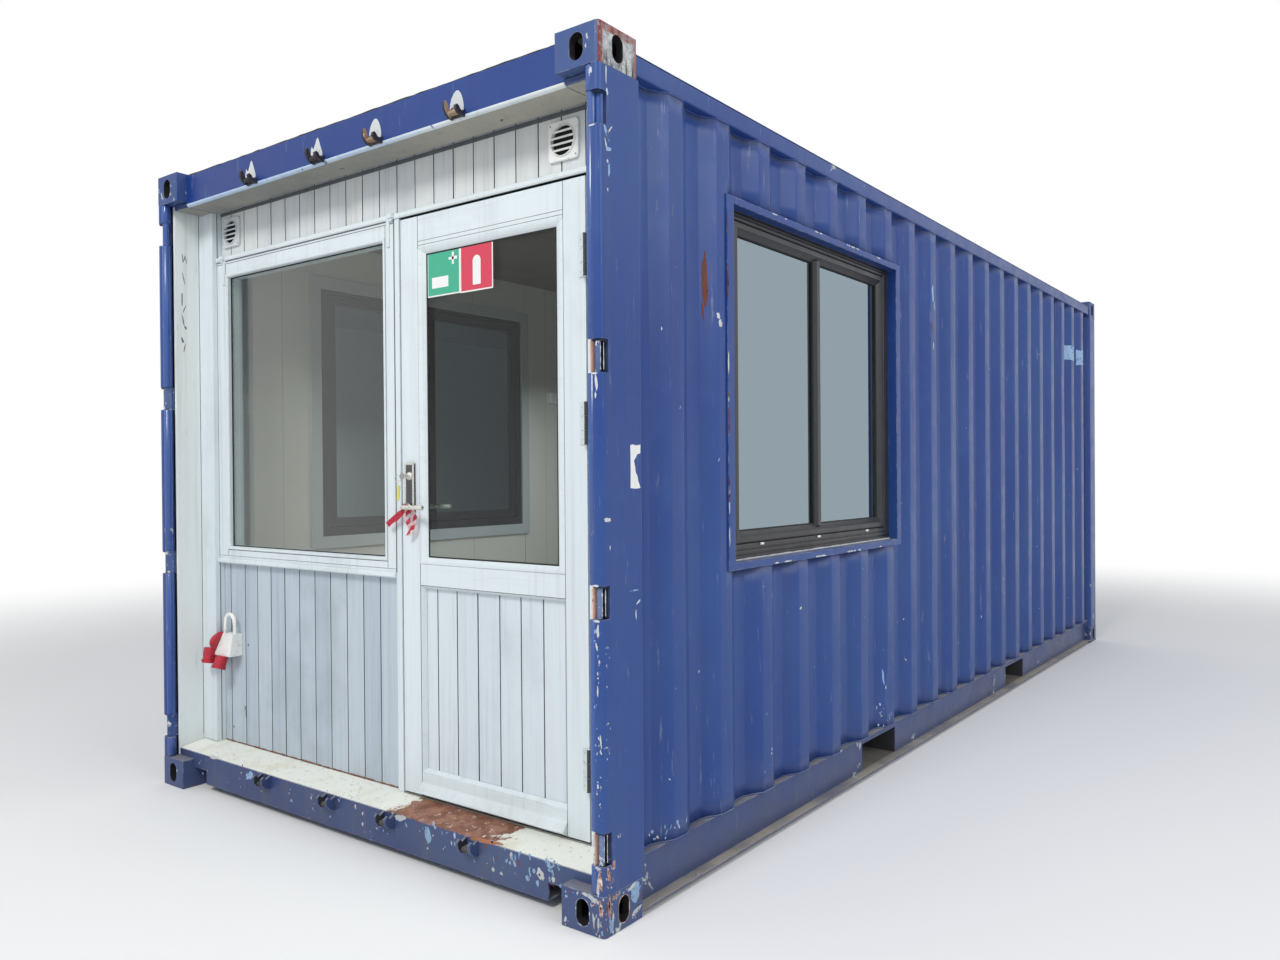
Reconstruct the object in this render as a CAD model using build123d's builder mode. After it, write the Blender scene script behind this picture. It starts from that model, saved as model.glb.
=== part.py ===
from build123d import *
import os

# Portable site cabin made from a twenty foot steel shipping container.
# Millimetres, +Z up, origin on the ground under the middle of the cabin.
# The timber end wall with the door faces -Y, the right hand long side faces +X.

# Overall size of the steel box
overall_length = 6058.0
overall_width = 2438.0
overall_height = 2591.0

# Corner castings
casting_length = 178.0
casting_width = 162.0
casting_height = 118.0
casting_wall = 26.0
casting_inner_wall = 8.0
casting_corner_radius = 14.0
casting_slot_length = 124.0
casting_slot_width = 63.5
casting_eye_height = 79.5
casting_eye_width = 51.0
casting_eye_level = 58.0

# Front corner posts, pressed outer section and hot rolled inner channel
post_plate = 6.0
post_bend = 8.0
front_post_depth = 191.0
post_bevel = 16.0
nose_width = 39.0
nose_radius = 17.0
nose_return = 40.0
channel_depth = 113.0
channel_thickness = 12.0
channel_setback = 46.0
channel_web_inset = 49.0
notch_height = 95.0
notch_depth = 36.0
notch_top_drop = 124.0
notch_spacing = 700.0
notch_count = 4
notch_width = 86.0
barrel_radius = 14.0
barrel_nose_gap = 3.0

# Rear corner posts
rear_post_width = 118.0
rear_post_depth = 162.0
rear_post_return = 66.0

# Front header and sill
header_setback = 42.0
header_top_drop = 9.0
header_plate = 6.0
header_lip_radius = 12.0
sill_setback = 50.0
sill_bottom = 26.0
sill_front_top = 148.0
sill_rear_top = 167.0
sill_depth = 149.0
sill_slope_depth = 129.0
sill_plate = 6.0
sill_notch_length = 95.0
sill_notch_height = 56.0
header_keeper_places = (-505.0, -112.0, 218.0, 630.0)
sill_keeper_places = (-525.0, -112.0, 218.0, 630.0)
keeper_setback = 1.0
keeper_width = 58.0
keeper_height = 36.0
keeper_slot_width = 24.0
keeper_slot_depth = 18.0
header_keeper_rise = 5.0
sill_keeper_drop = 12.0

# Rear header and sill
rear_setback = 14.0
rear_sill_depth = 70.0
rear_sill_top = 163.0
rear_header_drop = 16.0

# Side rails
top_rail_size = 60.0
top_rail_plate = 4.0
top_rail_corner = 6.0
top_rail_drop = 41.0
bottom_rail_bottom = 16.0
bottom_rail_height = 158.0
bottom_rail_plate = 4.5
bottom_flange_reach = 41.0
top_flange_reach = 26.0

# Corrugated steel walls
sheet = 2.0
wall_setback = 5.0
wave_depth = 36.0
wave_crest = 72.0
wave_slope = 68.0
wave_valley = 70.0
end_wave_depth = 45.6
end_wave_crest = 110.0
end_wave_slope = 18.0
end_wave_valley = 104.0

# Roof sheet with stamped cross ribs
roof_rib_height = 20.0
roof_rib_width = 110.0
roof_rib_spacing = 209.0
roof_rib_margin = 70.0
roof_rib_taper = 45.0

# Floor, cross members and fork pockets
floor_thickness = 28.0
floor_side_gap = 3.5
member_width = 45.0
member_plate = 4.0
member_spacing = 280.0
pocket_spacing = 2050.0
pocket_width = 360.0
pocket_height = 115.0
pocket_plate = 5.0
pocket_strap = 200.0

# Interior boards
lining_thickness = 12.0
side_insulation = 60.0
rear_insulation = 50.0
ceiling_drop = 151.0
lining_panel_width = 1160.0
lining_joint = 3.0

# Timber end wall
timber_setback = 179.0
timber_wall = 110.0
boards_setback = 20.0
cover_board_width = 107.0
cover_board_lap = 3.0
top_band_height = 212.0
lintel_height = 21.0
lower_wall_height = 795.0

# Fixed window in the timber end
end_window_left_stile = 70.0
end_window_right_stile = 47.0
end_window_bottom_rail = 40.0
end_window_top_rail = 60.0
end_window_depth = 78.0
end_window_bead = 13.0
end_glass_setback = 18.0
glass_thickness = 24.0

# Door in the timber end
door_width = 866.0
door_top_gap = 9.0
threshold_gap = 5.0
hinge_jamb_width = 40.0
lock_jamb_width = 31.0
door_thickness = 44.0
hinge_side_gap = 5.0
lock_side_gap = 8.0
stile_width = 92.0
door_top_rail = 116.0
middle_rail_rise = 746.0
middle_rail_height = 77.0
door_bottom_rail = 82.0
door_panel_thickness = 20.0
door_glass_setback = 12.0
stop_overlap = 13.0
stop_gap = 6.0
threshold_height = 5.0
drip_height = 34.0
drip_projection = 22.0
drip_rise = 13.0

# Butt hinges of the door
hinge_low_rise = 225.0
hinge_middle_drop = 761.0
hinge_high_drop = 245.0
hinge_height = 132.0
hinge_barrel_radius = 9.0
hinge_pin_radius = 4.5
hinge_running_clearance = 0.08
hinge_knuckle_gap = 1.0
hinge_leaf_width = 26.0
hinge_leaf_thickness = 3.0
hinge_leaf_gap = 1.5
hinge_barrel_sink = 1.5
hinge_barrel_clearance = 1.0

# Lock plates and lever
lock_plate_width = 50.0
lock_plate_height = 178.0
lock_plate_thickness = 8.0
lock_plate_corner = 6.0
lock_plate_rise = 1003.0
lock_backset = 46.0
lever_rise = 1024.0
lever_sides = 8
lever_radius = 8.5
lever_reach = 48.0
lever_length = 115.0
lever_bend_radius = 16.0
lever_clearance = 0.4
spindle_clearance = 3.0

# Louvred vents
vent_left_inset = 91.0
vent_right_inset = 143.0
vent_rise = 101.0
vent_width = 123.0
vent_height = 125.0
vent_thickness = 9.0
vent_corner = 6.0
vent_ring_radius = 50.0
vent_ring_height = 6.0
vent_slot_spacing = 20.0
vent_slot_height = 11.0
vent_slot_lengths = (40.0, 76.0, 88.0, 76.0, 40.0)

# Power socket block on the boards
block_inset = 134.0
block_rise = 381.0
block_height = 95.0
block_bottom_width = 124.0
block_top_width = 74.0
block_top_depth = 45.0
block_bottom_depth = 59.0
hoop_setback = 33.0
hoop_skew = 10.0
hoop_edge = 2.0
hoop_width = 60.0
hoop_height = 84.0
hoop_radius = 5.5
hoop_sides = 8
collar_radius = 42.0
collar_thickness = 18.0
collar_rise = 53.0
outlet_radius = 25.0
outlet_length = 56.0
outlet_lip_height = 9.0
outlet_lip_width = 3.0
outlet_seat = 0.3
collar_outlet_offset = 43.0
collar_outlet_rise = 30.0
collar_outlet_tilt = 8.0
lower_outlet_inset = 58.0
lower_outlet_depth = 55.0
lower_outlet_rise = 9.0
lower_outlet_tilt = 20.0

# Side windows, the same on both long sides
window_from_front = 1426.0
surround_drop = 237.0
surround_height = 1271.0
surround_width = 1494.0
surround_stile = 45.0
surround_rail = 26.0
window_lap = 16.0
window_unit_depth = 70.0
window_side = 109.0
window_top = 90.0
window_bottom = 115.0
window_mullion = 45.0
mullion_offset = 20.0
mullion_setback = 16.0
pane_setback = 26.0
sash_width = 44.0
sash_groove = 5.0
architrave_width = 58.0
architrave_thickness = 12.0

# Places worked out from the sizes above
half_length = overall_length / 2
half_width = overall_width / 2
between_castings = half_length - casting_length
casting_inner_x = half_width - casting_width
opening_half = half_width - channel_web_inset
post_height = overall_height - 2 * casting_height
header_bottom = overall_height - casting_height
header_top = overall_height - header_top_drop
rear_header_top = overall_height - rear_header_drop
notch_top_level = header_bottom - notch_top_drop
front_wall_edge = -half_length + front_post_depth + post_bevel
rear_wall_edge = half_length - rear_post_depth - post_bevel
wall_outer = half_width - wall_setback
wall_valley = wall_outer - wave_depth
wall_inner = wall_valley - sheet
wave_pitch = wave_crest + wave_valley + 2 * wave_slope
crests_each_way = int((between_castings + wave_valley / 2) // wave_pitch)
crest_reach = crests_each_way * wave_pitch - wave_valley / 2
web_inner = wall_valley - bottom_rail_plate
bottom_rail_top = bottom_rail_bottom + bottom_rail_height
top_rail_top = overall_height - top_rail_drop
top_rail_bottom = top_rail_top - top_rail_size
floor_top = sill_rear_top
floor_bottom = floor_top - floor_thickness
floor_half = web_inner - floor_side_gap
ceiling_bottom = overall_height - ceiling_drop
pocket_middle = pocket_spacing / 2
sill_back = half_length - sill_setback - sill_depth
rear_face = half_length - rear_setback
rear_sheet_inner = rear_face - end_wave_depth - sheet
lining_inner = wall_inner - side_insulation - lining_thickness
rear_lining = rear_sheet_inner - rear_insulation
timber_face = half_length - timber_setback
boards_face = timber_face - boards_setback
wall_back = timber_face - timber_wall
lintel_top = header_bottom - top_band_height
lintel_bottom = lintel_top - lintel_height
lower_wall_top = floor_top + lower_wall_height
cover_front = half_length - channel_setback - channel_depth
cover_inner = opening_half - cover_board_width
jamb_right_inner = cover_inner - hinge_jamb_width
door_right = jamb_right_inner - hinge_side_gap
door_left = door_right - door_width
jamb_left_inner = door_left - lock_side_gap
end_window_right = jamb_left_inner - lock_jamb_width
door_bottom = floor_top + threshold_height + threshold_gap
door_top = lintel_bottom - door_top_gap
door_back = timber_face - door_thickness
stop_front = door_back - stop_gap
surround_top = top_rail_bottom - surround_drop
surround_bottom = surround_top - surround_height
surround_depth = half_width - wall_inner
window_middle = -half_length + window_from_front
surround_low_y = window_middle - surround_width / 2
surround_high_y = window_middle + surround_width / 2
unit_half = surround_width / 2 - surround_stile + window_lap
unit_bottom = surround_bottom + surround_rail - window_lap
unit_top = surround_top - surround_rail + window_lap
unit_face = wall_inner
hinge_x = door_right + hinge_side_gap / 2
hinge_y = -(timber_face + hinge_leaf_thickness + hinge_barrel_radius - hinge_barrel_sink)
hinge_bore_radius = hinge_pin_radius + hinge_running_clearance
hinge_sweep_radius = hinge_barrel_radius + hinge_barrel_clearance
hinge_levels = (door_bottom + hinge_low_rise, door_top - hinge_middle_drop, door_top - hinge_high_drop)
lever_x = door_left + lock_backset
lever_level = door_bottom + lever_rise


def slab(x_from, x_to, y_from, y_to, z_from, z_to):
    # Plain board or plate between two corners.
    with BuildPart() as block:
        with Locations(((x_from + x_to) / 2, (y_from + y_to) / 2, (z_from + z_to) / 2)):
            Box(abs(x_to - x_from), abs(y_to - y_from), abs(z_to - z_from))
    return block.part


def wave_at(along):
    # Depth of the corrugated face behind its crests at a place along the cabin.
    if abs(along) >= crest_reach:
        return wave_depth
    from_crest = abs(along % wave_pitch - wave_pitch / 2)
    share = (from_crest - wave_crest / 2) / wave_slope
    return wave_depth * min(max(share, 0), 1)


def side_sheet(y_from, y_to, z_from, z_to):
    # Right hand corrugated sheet between two places along the cabin and two levels.
    folds = []
    for crest in range(-crests_each_way, crests_each_way):
        middle = (crest + 0.5) * wave_pitch
        folds += [middle - wave_crest / 2 - wave_slope, middle - wave_crest / 2]
        folds += [middle + wave_crest / 2, middle + wave_crest / 2 + wave_slope]
    places = [y_from] + [fold for fold in folds if y_from < fold < y_to] + [y_to]
    outer = [(wall_outer - wave_at(along), along) for along in places]
    inner = [(depth - sheet, along) for depth, along in reversed(outer)]
    with BuildPart() as strip:
        with BuildSketch(Plane.XY.offset(z_from)):
            with BuildLine():
                Polyline(*outer, *inner, close=True)
            make_face()
        extrude(amount=z_to - z_from)
    return strip.part


def outlet(place_x, place_y, place_z, tilt):
    # Round socket outlet hanging from a place, tilted forward, with a lip round its mouth.
    with BuildPart() as mouth:
        top = Plane((place_x, place_y, place_z)).rotated((-tilt, 0, 0))
        with BuildSketch(top):
            Circle(outlet_radius)
        extrude(amount=-outlet_length)
        with BuildSketch(top.offset(-outlet_length)):
            Circle(outlet_radius + outlet_lip_width)
        extrude(amount=-outlet_lip_height)
    return mouth.part


def save(part, label):
    part.label = label
    export_step(part, "parts/" + label + ".step")


os.makedirs("parts", exist_ok=True)

# Corner castings, hollow with a slot in the outer cap and an eye in each outer face
with BuildPart() as corner_casting:
    slot_x = half_width - casting_width / 2
    slot_y = half_length - casting_length / 2
    with BuildSketch():
        with Locations((slot_x, slot_y)):
            Rectangle(casting_width, casting_length)
    extrude(amount=casting_height)
    outer_upright = corner_casting.edges().filter_by(Axis.Z).group_by(Axis.X)[-1].sort_by(Axis.Y)[-1]
    fillet(outer_upright, radius=casting_corner_radius)
    cavity_width = casting_width - casting_wall - casting_inner_wall
    cavity_length = casting_length - casting_wall - casting_inner_wall
    with BuildSketch(Plane.XY.offset(casting_wall)):
        cavity_x = half_width - casting_wall - cavity_width / 2
        cavity_y = half_length - casting_wall - cavity_length / 2
        with Locations((cavity_x, cavity_y)):
            Rectangle(cavity_width, cavity_length)
    extrude(amount=casting_height - 2 * casting_wall, mode=Mode.SUBTRACT)
    with BuildSketch():
        with Locations((slot_x, slot_y)):
            SlotOverall(casting_slot_length, casting_slot_width, rotation=90)
    extrude(amount=casting_wall, mode=Mode.SUBTRACT)
    with BuildSketch(Plane.YZ.offset(half_width)):
        with Locations((slot_y, casting_eye_level)):
            SlotOverall(casting_eye_height, casting_eye_width, rotation=90)
    extrude(amount=-casting_wall, mode=Mode.SUBTRACT)
    with BuildSketch(Plane.XZ.offset(-half_length)):
        with Locations((slot_x, casting_eye_level)):
            SlotOverall(casting_eye_height, casting_eye_width, rotation=90)
    extrude(amount=casting_wall, mode=Mode.SUBTRACT)

with BuildPart() as bottom_corner_castings:
    add(corner_casting.part)
    mirror(about=Plane.YZ)
    mirror(about=Plane.XZ)
save(bottom_corner_castings.part, "bottom_corner_castings")

with BuildPart() as top_corner_castings:
    add(bottom_corner_castings.part)
    mirror(about=Plane.XY.offset(overall_height / 2), mode=Mode.REPLACE)
save(top_corner_castings.part, "top_corner_castings")

# Front corner posts with a rounded nose, a rear bevel and notches for the old door hinges
post_side_rear = -half_length + front_post_depth
nose_inner = half_width - nose_width
channel_front = -half_length + channel_setback
bevel_foot = (Align.CENTER, Align.MIN, Align.CENTER)
with BuildPart() as front_posts:
    with BuildSketch(Plane.XY.offset(casting_height)):
        with BuildLine():
            FilletPolyline(
                (nose_inner, -half_length + nose_return),
                (nose_inner, -half_length),
                (half_width, -half_length),
                (half_width, post_side_rear),
                (wall_valley, front_wall_edge),
                radius=[nose_radius, nose_radius, post_bend],
            )
            offset(amount=post_plate, side=Side.LEFT)
        make_face()
    extrude(amount=post_height)
    for step in range(notch_count):
        level = notch_top_level - step * notch_spacing
        with Locations((half_width, -half_length, level)):
            Box(notch_width, 2 * notch_depth, notch_height, mode=Mode.SUBTRACT)
    barrel_x = nose_inner + barrel_radius + barrel_nose_gap
    with Locations((barrel_x, channel_front - barrel_radius, notch_top_level)):
        Cylinder(barrel_radius, notch_height)
    with Locations((half_width, -between_castings, bottom_rail_top / 2)):
        foot_width = 2 * (half_width - opening_half)
        Box(foot_width, casting_length, bottom_rail_top, align=bevel_foot, mode=Mode.SUBTRACT)
    mirror(about=Plane.YZ)
save(front_posts.part, "front_posts")

# Hot rolled channels that stand inside the front posts, webs towards the opening
with BuildPart() as front_post_channels:
    with BuildSketch(Plane.XY.offset(casting_height)):
        with BuildLine():
            Polyline(
                (half_width - post_plate, channel_front),
                (opening_half, channel_front),
                (opening_half, channel_front + channel_depth),
                (half_width - post_plate, channel_front + channel_depth),
            )
            offset(amount=channel_thickness, side=Side.RIGHT)
        make_face()
    extrude(amount=post_height)
    web_corners = front_post_channels.edges().filter_by(Axis.Z).group_by(Axis.X)[0]
    fillet(web_corners, radius=channel_thickness / 2)
    mirror(about=Plane.YZ)
save(front_post_channels.part, "front_post_channels")

# Rear corner posts folded from plate
with BuildPart() as rear_posts:
    with BuildSketch(Plane.XY.offset(casting_height)):
        with BuildLine():
            FilletPolyline(
                (half_width - rear_post_width, half_length - rear_post_return),
                (half_width - rear_post_width, half_length),
                (half_width, half_length),
                (half_width, half_length - rear_post_depth),
                (wall_valley, rear_wall_edge),
                radius=[post_bend, nose_radius, post_bend],
            )
            offset(amount=post_plate, side=Side.RIGHT)
        make_face()
    extrude(amount=post_height)
    mirror(about=Plane.YZ)
save(rear_posts.part, "rear_posts")

# Front header, a hollow rail between the top castings with a rounded lower lip
header_front = half_length - header_setback
with BuildPart() as front_header:
    with BuildSketch(Plane.YZ.offset(-casting_inner_x)) as header_profile:
        with Locations((-(header_front + between_castings) / 2, (header_bottom + header_top) / 2)):
            Rectangle(header_front - between_castings, header_top - header_bottom)
        fillet(header_profile.vertices().group_by(Axis.Y)[0].sort_by(Axis.X)[0], radius=header_lip_radius)
        offset(amount=-header_plate, mode=Mode.SUBTRACT)
    extrude(amount=2 * casting_inner_x)
save(front_header.part, "front_header")

# Front sill with a sloping tread, notched below beside each bottom casting
sill_front = half_length - sill_setback
with BuildPart() as front_sill:
    with BuildSketch(Plane.YZ.offset(-opening_half)):
        with BuildLine():
            Polyline(
                (-sill_front, sill_bottom),
                (-sill_front, sill_front_top),
                (-sill_front + sill_slope_depth, sill_rear_top),
                (-sill_back, sill_rear_top),
                (-sill_back, sill_bottom),
                close=True,
            )
        make_face()
        offset(amount=-sill_plate, mode=Mode.SUBTRACT)
    extrude(amount=2 * opening_half)
    with Locations((-half_width, -half_length, 0), (half_width, -half_length, 0)):
        Box(2 * casting_width, 2 * casting_length, 2 * casting_height, mode=Mode.SUBTRACT)
        notch_half = casting_width + sill_notch_length
        Box(2 * notch_half, 4 * casting_length, 2 * (sill_bottom + sill_notch_height), mode=Mode.SUBTRACT)
save(front_sill.part, "front_sill")

# Keepers for the old door bolts, welded to the header and the sill
header_keeper_level = header_bottom + header_keeper_rise
sill_keeper_level = sill_front_top - sill_keeper_drop - keeper_height
with BuildPart() as cam_keepers:
    with BuildSketch(Plane.XZ.offset(header_front)):
        for position in header_keeper_places:
            with Locations((position, header_keeper_level + keeper_height / 2)):
                Rectangle(keeper_width, keeper_height)
            with Locations((position, header_keeper_level + keeper_slot_depth / 2)):
                Rectangle(keeper_slot_width, keeper_slot_depth, mode=Mode.SUBTRACT)
    extrude(amount=header_setback - keeper_setback)
    with BuildSketch(Plane.XZ.offset(sill_front)):
        for position in sill_keeper_places:
            with Locations((position, sill_keeper_level + keeper_height / 2)):
                Rectangle(keeper_width, keeper_height)
            with Locations((position, sill_keeper_level + keeper_height - keeper_slot_depth / 2)):
                Rectangle(keeper_slot_width, keeper_slot_depth, mode=Mode.SUBTRACT)
    extrude(amount=sill_setback - keeper_setback)
save(cam_keepers.part, "cam_keepers")

# Rear header and rear sill between the rear castings
with BuildPart() as rear_rails:
    with BuildSketch(Plane.YZ.offset(-casting_inner_x)):
        with Locations(((between_castings + rear_face) / 2, (header_bottom + rear_header_top) / 2)):
            Rectangle(rear_face - between_castings, rear_header_top - header_bottom)
        with Locations((rear_face - rear_sill_depth / 2, (sill_bottom + rear_sill_top) / 2)):
            Rectangle(rear_sill_depth, rear_sill_top - sill_bottom)
        offset(amount=-header_plate, mode=Mode.SUBTRACT)
    extrude(amount=2 * casting_inner_x)
save(rear_rails.part, "rear_rails")

# Top side rails, square tube from casting to casting
with BuildPart() as top_side_rails:
    with BuildSketch(Plane.XZ.offset(-between_castings)):
        with Locations((wall_outer - top_rail_size / 2, top_rail_bottom + top_rail_size / 2)):
            RectangleRounded(top_rail_size, top_rail_size, top_rail_corner)
            top_rail_hollow = top_rail_size - 2 * top_rail_plate
            Rectangle(top_rail_hollow, top_rail_hollow, mode=Mode.SUBTRACT)
    extrude(amount=2 * between_castings)
    mirror(about=Plane.YZ)
save(top_side_rails.part, "top_side_rails")

# Bottom side rails, channels with their flanges outward, cut through at the fork pockets
pocket_bottom = bottom_rail_bottom + bottom_rail_plate
with BuildPart() as bottom_side_rails:
    with BuildSketch(Plane.XZ.offset(-between_castings)):
        with BuildLine():
            Polyline(
                (wall_valley + bottom_flange_reach, bottom_rail_bottom),
                (web_inner, bottom_rail_bottom),
                (web_inner, bottom_rail_top),
                (wall_valley + top_flange_reach, bottom_rail_top),
            )
            offset(amount=bottom_rail_plate, side=Side.RIGHT)
        make_face()
    extrude(amount=2 * between_castings)
    with Locations(
        (wall_valley, -pocket_middle, pocket_bottom + pocket_height / 2),
        (wall_valley, pocket_middle, pocket_bottom + pocket_height / 2),
    ):
        Box(4 * bottom_rail_plate, pocket_width, pocket_height, mode=Mode.SUBTRACT)
    mirror(about=Plane.YZ)
save(bottom_side_rails.part, "bottom_side_rails")

# Corrugated side walls, in front of the window, over and under it, and behind it
with BuildPart() as side_walls_front:
    add(side_sheet(front_wall_edge, surround_low_y, bottom_rail_top, top_rail_bottom))
    mirror(about=Plane.YZ)
save(side_walls_front.part, "side_walls_front")

with BuildPart() as side_walls_window_bay:
    add(side_sheet(surround_low_y, surround_high_y, bottom_rail_top, surround_bottom))
    add(side_sheet(surround_low_y, surround_high_y, surround_top, top_rail_bottom))
    mirror(about=Plane.YZ)
save(side_walls_window_bay.part, "side_walls_window_bay")

with BuildPart() as side_walls_rear:
    add(side_sheet(surround_high_y, rear_wall_edge, bottom_rail_top, top_rail_bottom))
    mirror(about=Plane.YZ)
save(side_walls_rear.part, "side_walls_rear")

# Rear end wall with deep upright corrugations
rear_wall_half = half_width - rear_post_width
end_pitch = end_wave_crest + end_wave_valley + 2 * end_wave_slope
end_crest_room = rear_wall_half - end_wave_crest / 2 - end_wave_slope
end_crests_each_way = int(end_crest_room // end_pitch)
with BuildPart() as rear_wall:
    outer = [(-rear_wall_half, rear_face - end_wave_depth)]
    for index in range(-end_crests_each_way, end_crests_each_way + 1):
        crest_middle = index * end_pitch
        for sign in (-1, 1):
            foot = (crest_middle + sign * (end_wave_crest / 2 + end_wave_slope), rear_face - end_wave_depth)
            crest = (crest_middle + sign * end_wave_crest / 2, rear_face)
            outer += [foot, crest] if sign < 0 else [crest, foot]
    outer.append((rear_wall_half, rear_face - end_wave_depth))
    inner = [(across, place - sheet) for across, place in reversed(outer)]
    with BuildSketch(Plane.XY.offset(rear_sill_top)):
        with BuildLine():
            Polyline(*outer, *inner, close=True)
        make_face()
    extrude(amount=header_bottom - rear_sill_top)
save(rear_wall.part, "rear_wall")

# Roof sheet on the top rails with stamped cross ribs
roof_run = 2 * between_castings
rib_count = int((roof_run - roof_rib_width) // roof_rib_spacing)
rib_length = 2 * (wall_outer - top_rail_size - roof_rib_margin)
with BuildPart() as roof:
    with BuildSketch(Plane.XY.offset(top_rail_top)):
        Rectangle(2 * wall_outer, roof_run)
    extrude(amount=sheet)
    with BuildSketch(Plane.XY.offset(top_rail_top + sheet)):
        with GridLocations(roof_rib_spacing, roof_rib_spacing, 1, rib_count):
            Rectangle(rib_length, roof_rib_width)
    extrude(amount=roof_rib_height, taper=roof_rib_taper)
    with BuildSketch(Plane.XY.offset(top_rail_top)):
        with GridLocations(roof_rib_spacing, roof_rib_spacing, 1, rib_count):
            Rectangle(rib_length, roof_rib_width)
    extrude(amount=roof_rib_height, taper=roof_rib_taper, mode=Mode.SUBTRACT)
save(roof.part, "roof")

# Cross members under the floor, left out where the fork pockets run
member_height = floor_bottom - pocket_bottom
pocket_reach = pocket_width / 2 + pocket_plate + member_width
members_each_way = int((between_castings + member_spacing / 2) // member_spacing)
rows = [(row + 0.5) * member_spacing for row in range(-members_each_way, members_each_way)]
member_rows = [row for row in rows if abs(abs(row) - pocket_middle) > pocket_reach]
member_middle = pocket_bottom + member_height / 2
with BuildPart() as cross_members:
    with BuildSketch(Plane.YZ.offset(-web_inner)):
        with Locations(*[(row, member_middle) for row in member_rows]):
            Rectangle(member_width, member_height)
        with Locations(*[(row + member_plate, member_middle) for row in member_rows]):
            Rectangle(member_width, member_height - 2 * member_plate, mode=Mode.SUBTRACT)
    extrude(amount=2 * web_inner)
save(cross_members.part, "cross_members")

# Fork pockets, plate tunnels across the base with a strap under each mouth
with BuildPart() as fork_pockets:
    tunnel_outer = pocket_width + 2 * pocket_plate
    with BuildSketch(Plane.YZ.offset(-web_inner)):
        with Locations((-pocket_middle, member_middle), (pocket_middle, member_middle)):
            Rectangle(tunnel_outer, member_height)
        pocket_level = pocket_bottom + pocket_height / 2
        with Locations((-pocket_middle, pocket_level), (pocket_middle, pocket_level)):
            Rectangle(pocket_width, pocket_height, mode=Mode.SUBTRACT)
    extrude(amount=2 * web_inner)
    strap_x = web_inner - pocket_strap / 2
    strap_level = pocket_bottom - bottom_rail_plate / 2
    for strap_row in (-pocket_middle, pocket_middle):
        with Locations((-strap_x, strap_row, strap_level), (strap_x, strap_row, strap_level)):
            Box(pocket_strap, tunnel_outer, bottom_rail_plate)
save(fork_pockets.part, "fork_pockets")

# Plywood floor on the cross members
with BuildPart() as floor:
    with BuildSketch(Plane.XY.offset(floor_bottom)):
        floor_end = rear_face - rear_sill_depth
        with Locations((0, (floor_end - sill_back) / 2)):
            Rectangle(2 * floor_half, floor_end + sill_back)
    extrude(amount=floor_thickness)
save(floor.part, "floor")

# Inside wall boards standing on the floor, in panels with open joints
lining_outer = lining_inner + lining_thickness
lining_start = -wall_back
lining_end = rear_lining - lining_thickness - lining_joint
bay_low = window_middle - unit_half
bay_high = window_middle + unit_half
rear_run = lining_end - bay_high
rear_panels = round(rear_run / lining_panel_width)
with BuildPart() as wall_linings:
    add(slab(lining_inner, lining_outer, lining_start, bay_low - lining_joint, floor_top, ceiling_bottom))
    add(slab(lining_inner, lining_outer, bay_low, bay_high, floor_top, unit_bottom))
    add(slab(lining_inner, lining_outer, bay_low, bay_high, unit_top, ceiling_bottom))
    for panel in range(rear_panels):
        panel_start = bay_high + lining_joint + panel * rear_run / rear_panels
        panel_end = panel_start + rear_run / rear_panels - lining_joint
        add(slab(lining_inner, lining_outer, panel_start, panel_end, floor_top, ceiling_bottom))
    rear_lining_face = rear_lining - lining_thickness
    add(slab(lining_joint / 2, lining_outer, rear_lining_face, rear_lining, floor_top, ceiling_bottom))
    mirror(about=Plane.YZ)
save(wall_linings.part, "wall_linings")

# Ceiling boards resting on the wall boards
with BuildPart() as ceiling:
    ceiling_top = ceiling_bottom + lining_thickness
    add(slab(-lining_outer, lining_outer, -wall_back, rear_lining, ceiling_bottom, ceiling_top))
save(ceiling.part, "ceiling")

# Timber end wall below the fixed window, and above window and door
with BuildPart() as front_wall_lower:
    add(slab(-cover_inner, end_window_right, -boards_face, -wall_back, floor_top, lower_wall_top))
save(front_wall_lower.part, "front_wall_lower")

with BuildPart() as front_wall_top:
    add(slab(-cover_inner, cover_inner, -boards_face, -wall_back, lintel_top, top_rail_top))
save(front_wall_top.part, "front_wall_top")

# Lintel over window and door, with the door's head stop planted under it
with BuildPart() as front_lintel:
    add(slab(-cover_inner, cover_inner, -timber_face, -wall_back, lintel_bottom, lintel_top))
    stop_bottom = door_top - stop_overlap
    stop_left = door_left + stop_overlap
    stop_right = door_right - stop_overlap
    add(slab(stop_left, stop_right, -stop_front, -wall_back, stop_bottom, lintel_bottom))
save(front_lintel.part, "front_lintel")

# Cover boards on the studs at both sides of the timber wall
with BuildPart() as cover_boards:
    cover_outer = opening_half + cover_board_lap
    add(slab(cover_inner, cover_outer, -cover_front, -wall_back, floor_top, header_bottom))
    mirror(about=Plane.YZ)
save(cover_boards.part, "cover_boards")

# Fixed window in the timber wall, a frame with a sloping bead round the glass
end_window_width = end_window_right + cover_inner
end_window_height = lintel_bottom - lower_wall_top
end_window_x = (end_window_right - cover_inner) / 2
end_window_z = (lintel_bottom + lower_wall_top) / 2
light_left = -cover_inner + end_window_left_stile + end_window_bead
light_right = end_window_right - end_window_right_stile - end_window_bead
light_bottom = lower_wall_top + end_window_bottom_rail + end_window_bead
light_top = lintel_bottom - end_window_top_rail - end_window_bead
with BuildPart() as end_window_frame:
    with BuildSketch(Plane.XZ.offset(timber_face)):
        with Locations((end_window_x, end_window_z)):
            Rectangle(end_window_width, end_window_height)
        with Locations(((light_left + light_right) / 2, (light_bottom + light_top) / 2)):
            Rectangle(light_right - light_left, light_top - light_bottom, mode=Mode.SUBTRACT)
    extrude(amount=-end_window_depth)
    front_rim = end_window_frame.faces().sort_by(Axis.Y)[0].inner_wires()[0].edges()
    chamfer(front_rim, length=end_window_bead)
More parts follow.
